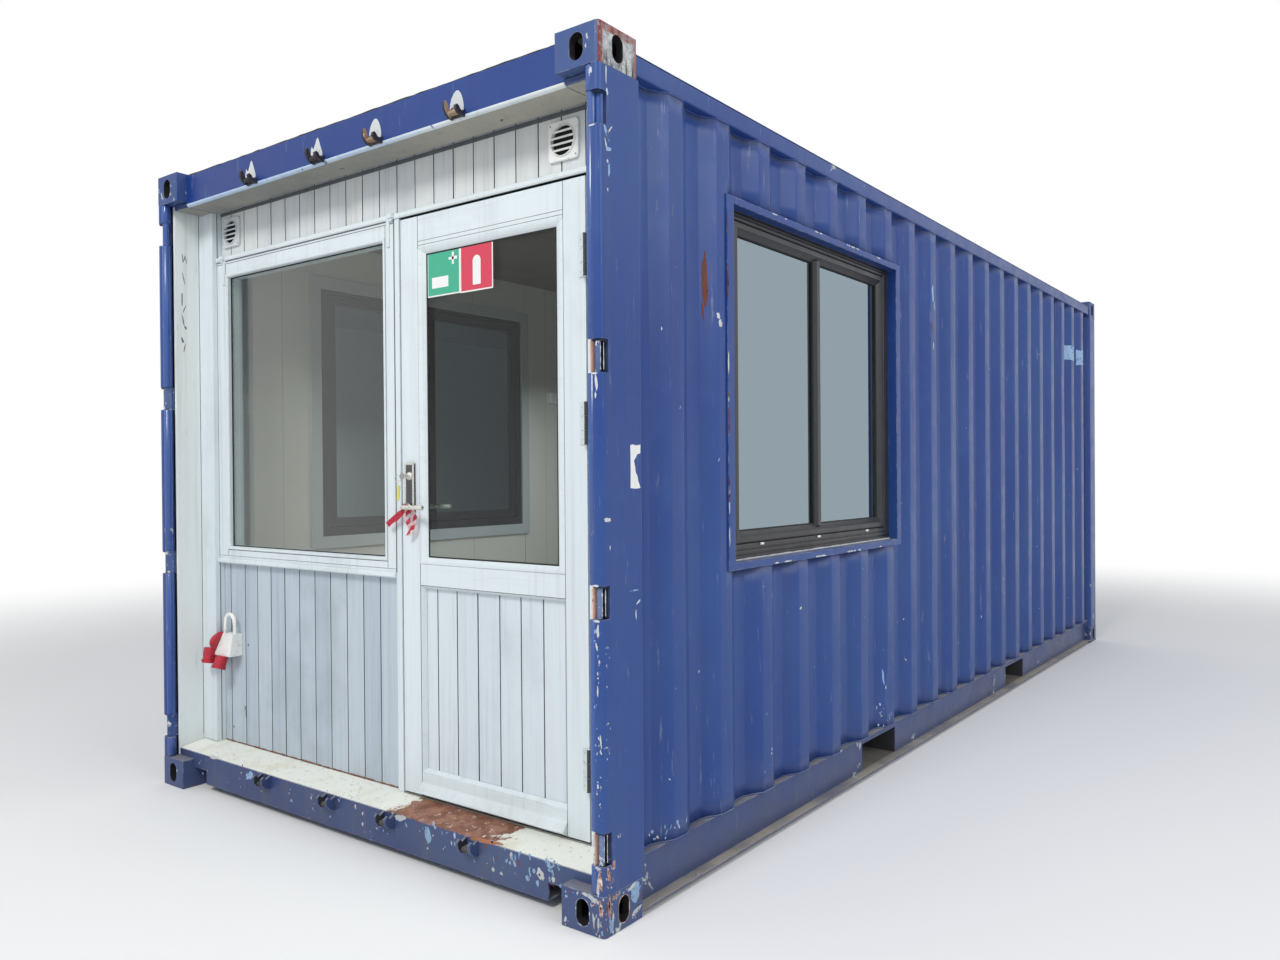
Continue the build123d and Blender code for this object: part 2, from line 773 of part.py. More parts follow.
save(end_window_frame.part, "end_window_frame")

with BuildPart() as end_window_glass:
    glass_front = timber_face - end_glass_setback
    add(slab(light_left, light_right, -glass_front, -glass_front + glass_thickness, light_bottom, light_top))
save(end_window_glass.part, "end_window_glass")

# Door jambs with the stop rebated behind the closed door
with BuildPart() as door_jambs:
    with BuildSketch(Plane.XY.offset(floor_top)):
        with BuildLine():
            Polyline(
                (end_window_right, -timber_face),
                (jamb_left_inner, -timber_face),
                (jamb_left_inner, -stop_front),
                (door_left + stop_overlap, -stop_front),
                (door_left + stop_overlap, -wall_back),
                (end_window_right, -wall_back),
                close=True,
            )
        make_face()
        with BuildLine():
            Polyline(
                (cover_inner, -timber_face),
                (jamb_right_inner, -timber_face),
                (jamb_right_inner, -stop_front),
                (door_right - stop_overlap, -stop_front),
                (door_right - stop_overlap, -wall_back),
                (cover_inner, -wall_back),
                close=True,
            )
        make_face()
    extrude(amount=lintel_bottom - floor_top)
save(door_jambs.part, "door_jambs")

# Threshold between the jambs
with BuildPart() as threshold:
    threshold_top = floor_top + threshold_height
    add(slab(jamb_left_inner, jamb_right_inner, -timber_face, -stop_front, floor_top, threshold_top))
save(threshold.part, "threshold")

# Door leaf, two stiles and three rails, the bottom rail with a weather drip
middle_rail_bottom = door_bottom + middle_rail_rise
drip_level = door_bottom + drip_rise
with BuildPart() as door_stiles:
    add(slab(door_left, door_left + stile_width, -timber_face, -door_back, door_bottom, door_top))
    add(slab(door_right - stile_width, door_right, -timber_face, -door_back, door_bottom, door_top))
    with Locations(Plane.XZ.offset(timber_face) * Location((lever_x, lever_level))):
        Hole(radius=lever_radius + spindle_clearance)
save(door_stiles.part, "door_stiles")

rail_left = door_left + stile_width
rail_right = door_right - stile_width
rail_length = rail_right - rail_left
with BuildPart() as door_rails:
    add(slab(rail_left, rail_right, -timber_face, -door_back, door_top - door_top_rail, door_top))
    middle_rail_top = middle_rail_bottom + middle_rail_height
    add(slab(rail_left, rail_right, -timber_face, -door_back, middle_rail_bottom, middle_rail_top))
    with BuildSketch(Plane.YZ.offset(rail_left)):
        with BuildLine():
            Polyline(
                (-timber_face, door_bottom),
                (-timber_face, drip_level),
                (-timber_face - drip_projection, drip_level),
                (-timber_face, drip_level + drip_height),
                (-timber_face, door_bottom + door_bottom_rail),
                (-door_back, door_bottom + door_bottom_rail),
                (-door_back, door_bottom),
                close=True,
            )
        make_face()
    extrude(amount=rail_length)
save(door_rails.part, "door_rails")

with BuildPart() as door_panel:
    panel_bottom = door_bottom + door_bottom_rail
    panel_back = boards_face - door_panel_thickness
    add(slab(rail_left, rail_right, -boards_face, -panel_back, panel_bottom, middle_rail_bottom))
save(door_panel.part, "door_panel")

with BuildPart() as door_glass:
    door_glass_front = timber_face - door_glass_setback
    door_glass_back = door_glass_front - glass_thickness
    door_glass_top = door_top - door_top_rail
    add(slab(rail_left, rail_right, -door_glass_front, -door_glass_back, middle_rail_top, door_glass_top))
save(door_glass.part, "door_glass")

# Butt hinges, the outer knuckles and pin fixed, the middle knuckle on the door
knuckle_height = (hinge_height - 2 * hinge_knuckle_gap) / 3
outer_knuckle_offset = knuckle_height + hinge_knuckle_gap
leaf_centre_y = -timber_face - hinge_leaf_thickness / 2
with BuildPart() as hinge_jamb_leaves:
    for level in hinge_levels:
        with Locations((hinge_x + hinge_leaf_gap + hinge_leaf_width / 2, leaf_centre_y, level)):
            Box(hinge_leaf_width, hinge_leaf_thickness, hinge_height)
        with Locations((hinge_x, hinge_y, level)):
            Cylinder(hinge_sweep_radius, knuckle_height + 2 * hinge_knuckle_gap, mode=Mode.SUBTRACT)
            Cylinder(hinge_pin_radius, hinge_height)
        with Locations(
            (hinge_x, hinge_y, level - outer_knuckle_offset),
            (hinge_x, hinge_y, level + outer_knuckle_offset),
        ):
            Cylinder(hinge_barrel_radius, knuckle_height)
save(hinge_jamb_leaves.part, "hinge_jamb_leaves")

with BuildPart() as hinge_door_leaves:
    for level in hinge_levels:
        with Locations((hinge_x - hinge_leaf_gap - hinge_leaf_width / 2, leaf_centre_y, level)):
            Box(hinge_leaf_width, hinge_leaf_thickness, hinge_height)
        with Locations(
            (hinge_x, hinge_y, level - outer_knuckle_offset),
            (hinge_x, hinge_y, level + outer_knuckle_offset),
        ):
            Cylinder(hinge_sweep_radius, knuckle_height + 2 * hinge_knuckle_gap, mode=Mode.SUBTRACT)
        with Locations((hinge_x, hinge_y, level)):
            Cylinder(hinge_barrel_radius, knuckle_height)
            Cylinder(hinge_bore_radius, knuckle_height, mode=Mode.SUBTRACT)
save(hinge_door_leaves.part, "hinge_door_leaves")

# Lock plates on both faces of the door
lock_z = door_bottom + lock_plate_rise + lock_plate_height / 2
with BuildPart() as lock_plates:
    with BuildSketch(Plane.XZ.offset(timber_face)):
        with Locations((lever_x, lock_z)):
            RectangleRounded(lock_plate_width, lock_plate_height, lock_plate_corner)
        with Locations((lever_x, lever_level)):
            Circle(lever_radius + lever_clearance, mode=Mode.SUBTRACT)
    extrude(amount=lock_plate_thickness)
    mirror(about=Plane.XZ.offset((timber_face + door_back) / 2))
save(lock_plates.part, "lock_plates")

# Lever, one bent bar through the door with a grip on each side
grip_front = -timber_face - lever_reach
grip_back = -door_back + lever_reach
with BuildPart() as door_lever:
    with BuildLine():
        FilletPolyline(
            (lever_x + lever_length, grip_front, lever_level),
            (lever_x, grip_front, lever_level),
            (lever_x, grip_back, lever_level),
            (lever_x + lever_length, grip_back, lever_level),
            radius=lever_bend_radius,
        )
    with BuildSketch(Plane(origin=(lever_x + lever_length, grip_front, lever_level), z_dir=(-1, 0, 0))):
        RegularPolygon(lever_radius, lever_sides)
    sweep()
save(door_lever.part, "door_lever")

# Louvred vents, a plate with a raised ring and slots
vent_positions = (-cover_inner + vent_left_inset, cover_inner - vent_right_inset)
vent_level = lintel_top + vent_rise
with BuildPart() as vent_louvres:
    with BuildSketch(Plane.XZ.offset(boards_face)):
        with Locations(*[(position, vent_level) for position in vent_positions]):
            RectangleRounded(vent_width, vent_height, vent_corner)
    extrude(amount=vent_thickness)
    with BuildSketch(Plane.XZ.offset(boards_face + vent_thickness)):
        with Locations(*[(position, vent_level) for position in vent_positions]):
            Circle(vent_ring_radius)
    extrude(amount=vent_ring_height)
    with BuildSketch(Plane.XZ.offset(boards_face + vent_thickness + vent_ring_height)):
        for slot, length in enumerate(vent_slot_lengths):
            slot_level = vent_level + (slot - (len(vent_slot_lengths) - 1) / 2) * vent_slot_spacing
            with Locations(*[(position, slot_level) for position in vent_positions]):
                Rectangle(length, vent_slot_height)
    extrude(amount=-vent_ring_height - vent_thickness / 2, mode=Mode.SUBTRACT)
save(vent_louvres.part, "vent_louvres")

# Power socket block, a tapered body with a slanted left side and a hoop to hang it by
block_right = -cover_inner + block_inset
block_bottom = floor_top + block_rise
block_top = block_bottom + block_height
with BuildPart() as socket_block:
    with BuildSketch(Plane.XZ.offset(boards_face)):
        with BuildLine():
            Polyline(
                (block_right, block_bottom),
                (block_right, block_top),
                (block_right - block_top_width, block_top),
                (block_right - block_bottom_width, block_bottom),
                close=True,
            )
        make_face()
    extrude(amount=block_bottom_depth)
    with BuildSketch(Plane.YZ.offset(block_right)):
        with BuildLine():
            Polyline(
                (-boards_face - block_bottom_depth, block_bottom),
                (-boards_face - block_bottom_depth, block_top),
                (-boards_face - block_top_depth, block_top),
                close=True,
            )
        make_face()
    extrude(amount=-block_bottom_width, mode=Mode.SUBTRACT)
    hoop_right = block_right - hoop_radius - hoop_edge
    hoop_left = hoop_right - hoop_width
    hoop_y = -boards_face - hoop_setback
    hoop_left_y = hoop_y - hoop_skew / 2
    hoop_right_y = hoop_y + hoop_skew / 2
    hoop_foot = block_top - hoop_radius
    hoop_shoulder = block_top + hoop_height - hoop_width / 2
    with BuildLine():
        Line((hoop_left, hoop_left_y, hoop_foot), (hoop_left, hoop_left_y, hoop_shoulder))
        ThreePointArc(
            (hoop_left, hoop_left_y, hoop_shoulder),
            ((hoop_left + hoop_right) / 2, hoop_y, block_top + hoop_height),
            (hoop_right, hoop_right_y, hoop_shoulder),
        )
        Line((hoop_right, hoop_right_y, hoop_shoulder), (hoop_right, hoop_right_y, hoop_foot))
    with BuildSketch(Plane(origin=(hoop_left, hoop_left_y, hoop_foot), z_dir=(0, 0, 1))):
        RegularPolygon(hoop_radius, hoop_sides)
    sweep()
save(socket_block.part, "socket_block")

# Outlets with lipped mouths, one from a round collar on the slanted side, one below the body
slant_run = block_bottom_width - block_top_width
slant_normal = Vector(-block_height, 0, slant_run).normalized()
collar_x = block_right - block_bottom_width + collar_rise * slant_run / block_height
collar_y = -boards_face - collar_radius - outlet_seat
with BuildPart() as socket_outlets:
    lower_outlet_y = -boards_face - lower_outlet_depth
    lower_outlet_x = block_right - lower_outlet_inset
    add(outlet(lower_outlet_x, lower_outlet_y, block_bottom + lower_outlet_rise, lower_outlet_tilt))
    split(bisect_by=Plane.XY.offset(block_bottom), keep=Keep.BOTTOM)
    with BuildSketch(Plane(origin=(collar_x, collar_y, block_bottom + collar_rise), z_dir=slant_normal)):
        Circle(collar_radius)
    extrude(amount=collar_thickness)
    collar_outlet_x = collar_x - collar_outlet_offset
    collar_outlet_y = -cover_front - outlet_radius - outlet_seat
    add(outlet(collar_outlet_x, collar_outlet_y, block_bottom + collar_outlet_rise, collar_outlet_tilt))
    add(socket_block.part, mode=Mode.SUBTRACT)
save(socket_outlets.part, "socket_outlets")

# Steel surrounds of the side windows, standing out to the line of the castings
with BuildPart() as window_surrounds:
    with BuildSketch(Plane.YZ.offset(half_width)):
        with Locations((window_middle, surround_bottom + surround_height / 2)):
            Rectangle(surround_width, surround_height)
            reveal_width = surround_width - 2 * surround_stile
            reveal_height = surround_height - 2 * surround_rail
            Rectangle(reveal_width, reveal_height, mode=Mode.SUBTRACT)
    extrude(amount=-surround_depth)
    mirror(about=Plane.YZ)
save(window_surrounds.part, "window_surrounds")

# Window units behind the surrounds, frame and sash welded as one with a mullion
pane_half = unit_half - window_side
pane_bottom = unit_bottom + window_bottom
pane_top = unit_top - window_top
pane_height = pane_top - pane_bottom
pane_middle = (pane_top + pane_bottom) / 2
with BuildPart() as window_frames:
    with BuildSketch(Plane.YZ.offset(unit_face)):
        with Locations((window_middle, (unit_top + unit_bottom) / 2)):
            Rectangle(2 * unit_half, unit_top - unit_bottom)
        with Locations((window_middle, pane_middle)):
            Rectangle(2 * pane_half, pane_height, mode=Mode.SUBTRACT)
    extrude(amount=-window_unit_depth)
    with BuildSketch(Plane.YZ.offset(unit_face)):
        with Locations((window_middle, pane_middle)):
            sash_span = 2 * (pane_half + sash_width)
            sash_rise = pane_height + 2 * sash_width
            Rectangle(sash_span + sash_groove, sash_rise + sash_groove)
            Rectangle(sash_span - sash_groove, sash_rise - sash_groove, mode=Mode.SUBTRACT)
    extrude(amount=-sash_groove, mode=Mode.SUBTRACT)
    with BuildSketch(Plane.YZ.offset(unit_face - mullion_setback)):
        with Locations((window_middle + mullion_offset, pane_middle)):
            Rectangle(window_mullion, pane_height)
    extrude(amount=mullion_setback - window_unit_depth)
    mirror(about=Plane.YZ)
save(window_frames.part, "window_frames")

with BuildPart() as window_glass:
    with BuildSketch(Plane.YZ.offset(unit_face - pane_setback)):
        with Locations((window_middle, pane_middle)):
            Rectangle(2 * pane_half, pane_height)
        with Locations((window_middle + mullion_offset, pane_middle)):
            Rectangle(window_mullion, pane_height, mode=Mode.SUBTRACT)
    extrude(amount=-glass_thickness)
    mirror(about=Plane.YZ)
save(window_glass.part, "window_glass")

# Inside trims round the side windows
with BuildPart() as window_trims:
    with BuildSketch(Plane.YZ.offset(lining_inner)):
        with Locations((window_middle, (unit_top + unit_bottom) / 2)):
            unit_height = unit_top - unit_bottom
            Rectangle(2 * unit_half + architrave_width, unit_height + architrave_width)
            Rectangle(2 * unit_half - architrave_width, unit_height - architrave_width, mode=Mode.SUBTRACT)
    extrude(amount=-architrave_thickness)
    mirror(about=Plane.YZ)
save(window_trims.part, "window_trims")
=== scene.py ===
import bpy
import bmesh
import math
import random
from mathutils import Matrix, Vector, noise


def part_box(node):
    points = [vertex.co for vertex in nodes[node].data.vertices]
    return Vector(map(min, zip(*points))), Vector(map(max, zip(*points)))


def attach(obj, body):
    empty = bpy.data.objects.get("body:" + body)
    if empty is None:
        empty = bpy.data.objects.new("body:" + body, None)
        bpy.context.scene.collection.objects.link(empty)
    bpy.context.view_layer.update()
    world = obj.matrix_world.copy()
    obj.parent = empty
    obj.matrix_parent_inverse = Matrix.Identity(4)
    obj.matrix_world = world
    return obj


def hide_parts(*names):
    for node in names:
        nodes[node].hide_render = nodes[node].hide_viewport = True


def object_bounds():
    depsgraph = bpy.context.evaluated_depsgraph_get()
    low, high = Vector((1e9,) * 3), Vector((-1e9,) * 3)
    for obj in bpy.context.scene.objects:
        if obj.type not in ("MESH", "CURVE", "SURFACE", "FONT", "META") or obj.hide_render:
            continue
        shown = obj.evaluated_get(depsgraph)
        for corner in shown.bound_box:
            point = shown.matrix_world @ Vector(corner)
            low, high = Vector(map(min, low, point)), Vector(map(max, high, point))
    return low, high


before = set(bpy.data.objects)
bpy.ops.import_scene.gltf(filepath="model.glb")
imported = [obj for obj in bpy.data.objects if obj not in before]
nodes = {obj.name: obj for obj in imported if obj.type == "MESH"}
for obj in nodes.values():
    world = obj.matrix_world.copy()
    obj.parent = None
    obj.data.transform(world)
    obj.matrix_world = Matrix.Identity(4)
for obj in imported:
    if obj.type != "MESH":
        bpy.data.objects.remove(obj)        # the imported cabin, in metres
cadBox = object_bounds()
mm = 0.001
wobbler = random.Random(6)
print("frame loaded,", len(nodes), "nodes")


# Small tools for meshes

def finishMesh(name, bm, finishes, sharpAngle=32, body="cabin"):
    # turns a bmesh into a piece that rides on a body, smooth below the sharp angle
    bmesh.ops.recalc_face_normals(bm, faces=bm.faces)
    limit = math.radians(sharpAngle)
    for face in bm.faces:
        face.smooth = True
    for edge in bm.edges:
        edge.smooth = len(edge.link_faces) == 2 and edge.calc_face_angle(math.pi) < limit
    mesh = bpy.data.meshes.new(name)
    bm.to_mesh(mesh)
    bm.free()
    for finish in finishes.split():
        mesh.materials.append(looks[finish])
    piece = bpy.data.objects.new(name, mesh)
    bpy.context.scene.collection.objects.link(piece)
    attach(piece, body)
    return piece


def addBox(bm, low, high, bevel=0, index=0, segments=2):
    # box between two opposite corners, with softened edges
    centre = (Vector(low) + Vector(high)) / 2
    size = [abs(b - a) for a, b in zip(low, high)]
    matrix = Matrix.Translation(centre) @ Matrix.Diagonal((*size, 1))
    made = bmesh.ops.create_cube(bm, size=1, matrix=matrix)
    faces = dict.fromkeys(face for vert in made["verts"] for face in vert.link_faces)
    for face in faces:
        face.material_index = index
    if bevel:
        edges = dict.fromkeys(edge for face in faces for edge in face.edges)
        bmesh.ops.bevel(bm, geom=list(edges), offset=bevel, segments=segments, affect="EDGES",
                        clamp_overlap=True, material=-1)


def addPrism(bm, outline, place, near, far, index=0):
    # outline in two coordinates, pushed from near to far along the third
    front = [bm.verts.new(place(u, v, near)) for u, v in outline]
    back = [bm.verts.new(place(u, v, far)) for u, v in outline]
    faces = [bm.faces.new(front), bm.faces.new(list(reversed(back)))]
    for i in range(len(outline)):
        j = (i + 1) % len(outline)
        faces.append(bm.faces.new((front[i], back[i], back[j], front[j])))
    for face in faces:
        face.material_index = index
    return faces


def bridge(bm, rings, index=0, closed=True):
    # faces between each two rings, which have equally many points
    for one, two in zip(rings, rings[1:]):
        for k in range(len(one) if closed else len(one) - 1):
            n = (k + 1) % len(one)
            bm.faces.new((one[k], one[n], two[n], two[k])).material_index = index


def roundAngles(count):
    return [2 * math.pi * k / count for k in range(count)]


def addRing(bm, place, outer, inner, profile, index=0):
    # mitred frame between two rectangles; a profile point is (share of the way in, distance out in mm)
    rings = []
    for share, out in profile:
        u0, v0, u1, v1 = [a + (b - a) * share for a, b in zip(outer, inner)]
        corners = ((u0, v0), (u1, v0), (u1, v1), (u0, v1))
        rings.append([bm.verts.new(place(u, v, out * mm)) for u, v in corners])
    bridge(bm, rings + rings[:1], index)


def addTube(bm, points, radius, sides=16, index=0, closed=False, wobble=0):
    # round bar along points; radius may be one value or one for each point
    count = len(points)
    points = [Vector(point) for point in points]
    radii = radius if isinstance(radius, (list, tuple)) else [radius] * count
    rings = []
    side = None
    for i, point in enumerate(points):
        before = points[i - 1] if (i or closed) else point
        after = points[(i + 1) % count] if (i < count - 1 or closed) else point
        along = (after - before).normalized()
        if side is None:
            side = along.orthogonal().normalized()
        side = (side - along * side.dot(along)).normalized()
        across = along.cross(side)
        reach = radii[i] * (1 + wobble * wobbler.uniform(-1, 1))
        rings.append([bm.verts.new(point + reach * (math.cos(t) * side + math.sin(t) * across))
                      for t in roundAngles(sides)])
    bridge(bm, rings + rings[:1] if closed else rings, index)
    if not closed:
        bm.faces.new(list(reversed(rings[0]))).material_index = index
        bm.faces.new(rings[-1]).material_index = index


def addTurned(bm, profile, centre, axis, sides=32, index=0, wide=1):
    # turned shape: profile is (radius, distance along the axis) in mm, closed by its end points
    axis = Vector(axis).normalized()
    side = axis.orthogonal().normalized()
    across = axis.cross(side)
    rings = []
    for radius, along in profile:
        radius *= wide * mm
        middle = Vector(centre) + axis * along * mm
        if radius < 1e-6:
            rings.append([bm.verts.new(middle)])
        else:
            rings.append([bm.verts.new(middle + radius * (math.cos(t) * side + math.sin(t) * across))
                          for t in roundAngles(sides)])
    for one, two in zip(rings, rings[1:]):
        for k in range(sides):
            n = (k + 1) % sides
            corners = [one[k % len(one)], one[n % len(one)], two[n % len(two)], two[k % len(two)]]
            corners = [c for i, c in enumerate(corners) if c not in corners[:i]]
            if len(corners) > 2:
                bm.faces.new(corners).material_index = index


def onFront(y):
    # places (x, z, out) on a face that looks towards -Y
    return lambda u, v, out: Vector((u, y - out, v))


def onSide(x, side):
    # places (y, z, out) on a face of the right (1) or left (-1) long side
    return lambda u, v, out: Vector((side * (x + out), u, v))


def inset(rectangle, amount):
    u0, v0, u1, v1 = rectangle
    return (u0 + amount, v0 + amount, u1 - amount, v1 - amount)


def straightLine(start, end, steps):
    # points on a straight line, ends included
    return [Vector(start).lerp(Vector(end), i / steps) for i in range(steps + 1)]


def dressNode(node, finishes, body="cabin", name=None, bevel=2 * mm, segments=2, lowAngle=30, paint=None):
    # softened copy of a CAD piece in the same place, which then stands for it
    bm = bmesh.new()
    bm.from_mesh(nodes[node].data)
    bmesh.ops.remove_doubles(bm, verts=bm.verts, dist=0.02 * mm)
    bmesh.ops.dissolve_limit(bm, angle_limit=math.radians(0.8), verts=bm.verts, edges=bm.edges)
    limit = math.radians(lowAngle)
    edges = [e for e in bm.edges if len(e.link_faces) == 2 and e.calc_face_angle(0) > limit]
    if bevel:
        bmesh.ops.bevel(bm, geom=edges, offset=bevel, segments=segments, affect="EDGES",
                        clamp_overlap=True, material=-1)
    for face in bm.faces:
        face.material_index = paint(face) if paint else 0
    piece = finishMesh(name or node + "_dressed", bm, finishes, body=body)
    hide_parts(node)
    return piece


def useMaterial(node, finish):
    # keeps the CAD piece and gives it a better finish
    mesh = nodes[node].data
    mesh.materials.clear()
    mesh.materials.append(looks[finish])


# Small tools for materials

def srgb(red, green, blue):
    shares = [channel / 255 for channel in (red, green, blue)]
    return (*[c / 12.92 if c <= 0.04045 else ((c + 0.055) / 1.055) ** 2.4 for c in shares], 1)


def addNode(tree, kind, values=None, **settings):
    node = tree.nodes.new("ShaderNode" + kind)
    for key, value in settings.items():
        setattr(node, key, value)
    for key, value in (values or {}).items():
        if isinstance(value, bpy.types.NodeSocket):
            tree.links.new(value, node.inputs[key])
        else:
            node.inputs[key].default_value = value
    return node


def calc(operation, first, second=0, clamp=False):
    tree = next(value for value in (first, second) if isinstance(value, bpy.types.NodeSocket)).id_data
    return addNode(tree, "Math", {0: first, 1: second}, operation=operation, use_clamp=clamp).outputs[0]


def times(first, second):
    return calc("MULTIPLY", first, second)


def plus(first, second):
    return calc("ADD", first, second)


def minus(first, second):
    return calc("SUBTRACT", first, second)


def larger(first, second):
    return calc("MAXIMUM", first, second)


def mix(factor, first, second):
    return addNode(factor.id_data, "Mix", {0: factor, 6: first, 7: second}, data_type="RGBA").outputs[2]


def ramp(value, low, high, start=0, end=1):
    values = {"Value": value, "From Min": low, "From Max": high, "To Min": start, "To Max": end}
    return addNode(value.id_data, "MapRange", values, interpolation_type="SMOOTHSTEP").outputs[0]


def noiseAt(vector, scale, detail=4, roughness=0.55, distortion=0):
    values = {"Vector": vector, "Scale": scale, "Detail": detail, "Roughness": roughness,
              "Distortion": distortion}
    return addNode(vector.id_data, "TexNoise", values).outputs[0]


def vectorMath(operation, first, second=(0, 0, 0)):
    return addNode(first.id_data, "VectorMath", {0: first, 1: second}, operation=operation).outputs


def objectPlace(tree):
    return addNode(tree, "TexCoord").outputs["Object"]


def parts(vector):
    return addNode(vector.id_data, "SeparateXYZ", {0: vector}).outputs


def stretched(tree, scale):
    # object coordinates, stretched so that a pattern runs along one way
    return addNode(tree, "Mapping", {"Vector": objectPlace(tree), "Scale": scale}).outputs[0]


def newGroup(name, outputs, inputs):
    group = bpy.data.node_groups.new(name, "ShaderNodeTree")
    for label, value in inputs.items():
        kind = "NodeSocketVector" if isinstance(value, tuple) else "NodeSocketFloat"
        group.interface.new_socket(label, in_out="INPUT", socket_type=kind).default_value = value
    for label, kind in outputs.items():
        group.interface.new_socket(label, in_out="OUTPUT", socket_type="NodeSocket" + kind)
    return group, group.nodes.new("NodeGroupInput").outputs, group.nodes.new("NodeGroupOutput").inputs


def useGroup(tree, name, **values):
    return addNode(tree, "Group", values, node_tree=bpy.data.node_groups[name]).outputs


def maskOf(tree, name, **values):
    return useGroup(tree, name, **values)["Mask"]


looks = {}


def newMaterial(name):
    looks[name] = material = bpy.data.materials.new(name)
    material.use_nodes = True
    tree = material.node_tree
    tree.nodes.clear()
    output = tree.nodes.new("ShaderNodeOutputMaterial")
    shader = tree.nodes.new("ShaderNodeBsdfPrincipled")
    tree.links.new(shader.outputs[0], output.inputs[0])
    return tree, shader, objectPlace(tree)


def addBump(shader, height, strength, distance):
    tree = height.id_data
    values = {"Height": height, "Strength": strength, "Distance": distance}
    tree.links.new(addNode(tree, "Bump", values).outputs[0], shader.inputs["Normal"])


def finishSurface(shader, base, rough, height, strength, distance):
    tree = base.id_data
    tree.links.new(base, shader.inputs["Base Color"])
    tree.links.new(rough, shader.inputs["Roughness"])
    addBump(shader, height, strength, distance)


def blendOut(tree, share, first, second):
    # mixes two shaders into the output
    blend = addNode(tree, "MixShader", {0: share, 1: first.outputs[0], 2: second.outputs[0]})
    output = next(node for node in tree.nodes if node.type.startswith("OUTPUT_"))
    tree.links.new(blend.outputs[0], output.inputs[0])


# Effects that several finishes share

def maskGroup(name, build, **inputs):
    group, source, target = newGroup(name, {"Mask": "Float"}, inputs)
    group.links.new(build(objectPlace(group), source), target["Mask"])


def paintChips(place, source):
    coarse = noiseAt(place, source["Scale"], 7, 0.62, 0.4)
    level = minus(0.8, times(source["Amount"], 0.36))
    level = minus(level, times(noiseAt(place, 0.9, 3), 0.06))
    return ramp(coarse, level, plus(level, source["Softness"]))


def rainStreaks(place, source):
    values = {"X": source["Width"], "Y": source["Width"], "Z": 0.7}
    scale = addNode(place.id_data, "CombineXYZ", values).outputs[0]
    lines = noiseAt(vectorMath("MULTIPLY", place, scale)[0], 1, 5, 0.6)
    return times(ramp(lines, 0.48, 0.78), source["Amount"])


def settledDust(place, source):
    facing = addNode(place.id_data, "NewGeometry").outputs["Normal"]
    cloud = ramp(noiseAt(place, source["Scale"], 6, 0.65), 0.3, 0.62, 0.35, 1)
    return times(times(ramp(parts(facing)["Z"], 0.25, 0.95), cloud), source["Amount"])


def groundSplash(place, source):
    ragged = plus(parts(place)["Z"], times(noiseAt(place, 5, 7, 0.6), -0.45))
    return times(ramp(ragged, minus(source["Top"], 0.35), -0.3, 0, 1), source["Amount"])


def edgeWear(place, source):
    tree = place.id_data
    rounded = addNode(tree, "Bevel", {"Radius": source["Radius"]}, samples=4).outputs[0]
    facing = addNode(tree, "NewGeometry").outputs["Normal"]
    match = vectorMath("DOT_PRODUCT", rounded, facing)["Value"]
    broken = ramp(noiseAt(place, 22, 7, 0.7), 0.42, 0.62)
    return calc("MULTIPLY", times(ramp(minus(1, match), 0.04, 0.22), broken), source["Amount"], True)


maskGroup("paintChips", paintChips, Scale=6, Amount=0.3, Softness=0.02)
maskGroup("rainStreaks", rainStreaks, Width=40, Amount=0.5)
maskGroup("settledDust", settledDust, Amount=0.5, Scale=3)
maskGroup("groundSplash", groundSplash, Top=0.6, Amount=0.5)
maskGroup("edgeWear", edgeWear, Radius=0.006, Amount=0.5)

rustBloom, source, target = newGroup("rustBloom", {"Color": "Color", "Height": "Float"}, {"Scale": 30})
place = objectPlace(rustBloom)
cloud = noiseAt(place, source["Scale"], 8, 0.7, 0.3)
shade = mix(ramp(cloud, 0.35, 0.65), srgb(70, 38, 26), srgb(156, 88, 52))
flecks = ramp(noiseAt(place, times(source["Scale"], 4), 5), 0.6, 0.7)
rustBloom.links.new(mix(flecks, shade, srgb(186, 128, 84)), target["Color"])
rustBloom.links.new(cloud, target["Height"])

woodGrain, source, target = newGroup("woodGrain", {"Tone": "Float", "Height": "Float"},
                                     {"Vector": (0, 0, 0), "Scale": 1})
layers = []
for stretch, detail, distortion in (((55, 55, 1.7), 6, 0.6), ((420, 420, 9), 4, 0)):
    place = vectorMath("MULTIPLY", source["Vector"], stretch)[0]
    values = {0: place, "Scale": source["Scale"]}
    place = addNode(woodGrain, "VectorMath", values, operation="SCALE").outputs[0]
    layers.append(noiseAt(place, 1, detail, 0.6, distortion))
for label, broad, fine in (("Tone", 0.65, 0.35), ("Height", 0.4, 0.6)):
    woodGrain.links.new(plus(times(layers[0], broad), times(layers[1], fine)), target[label])
print("effects built")


# Finishes of the steel

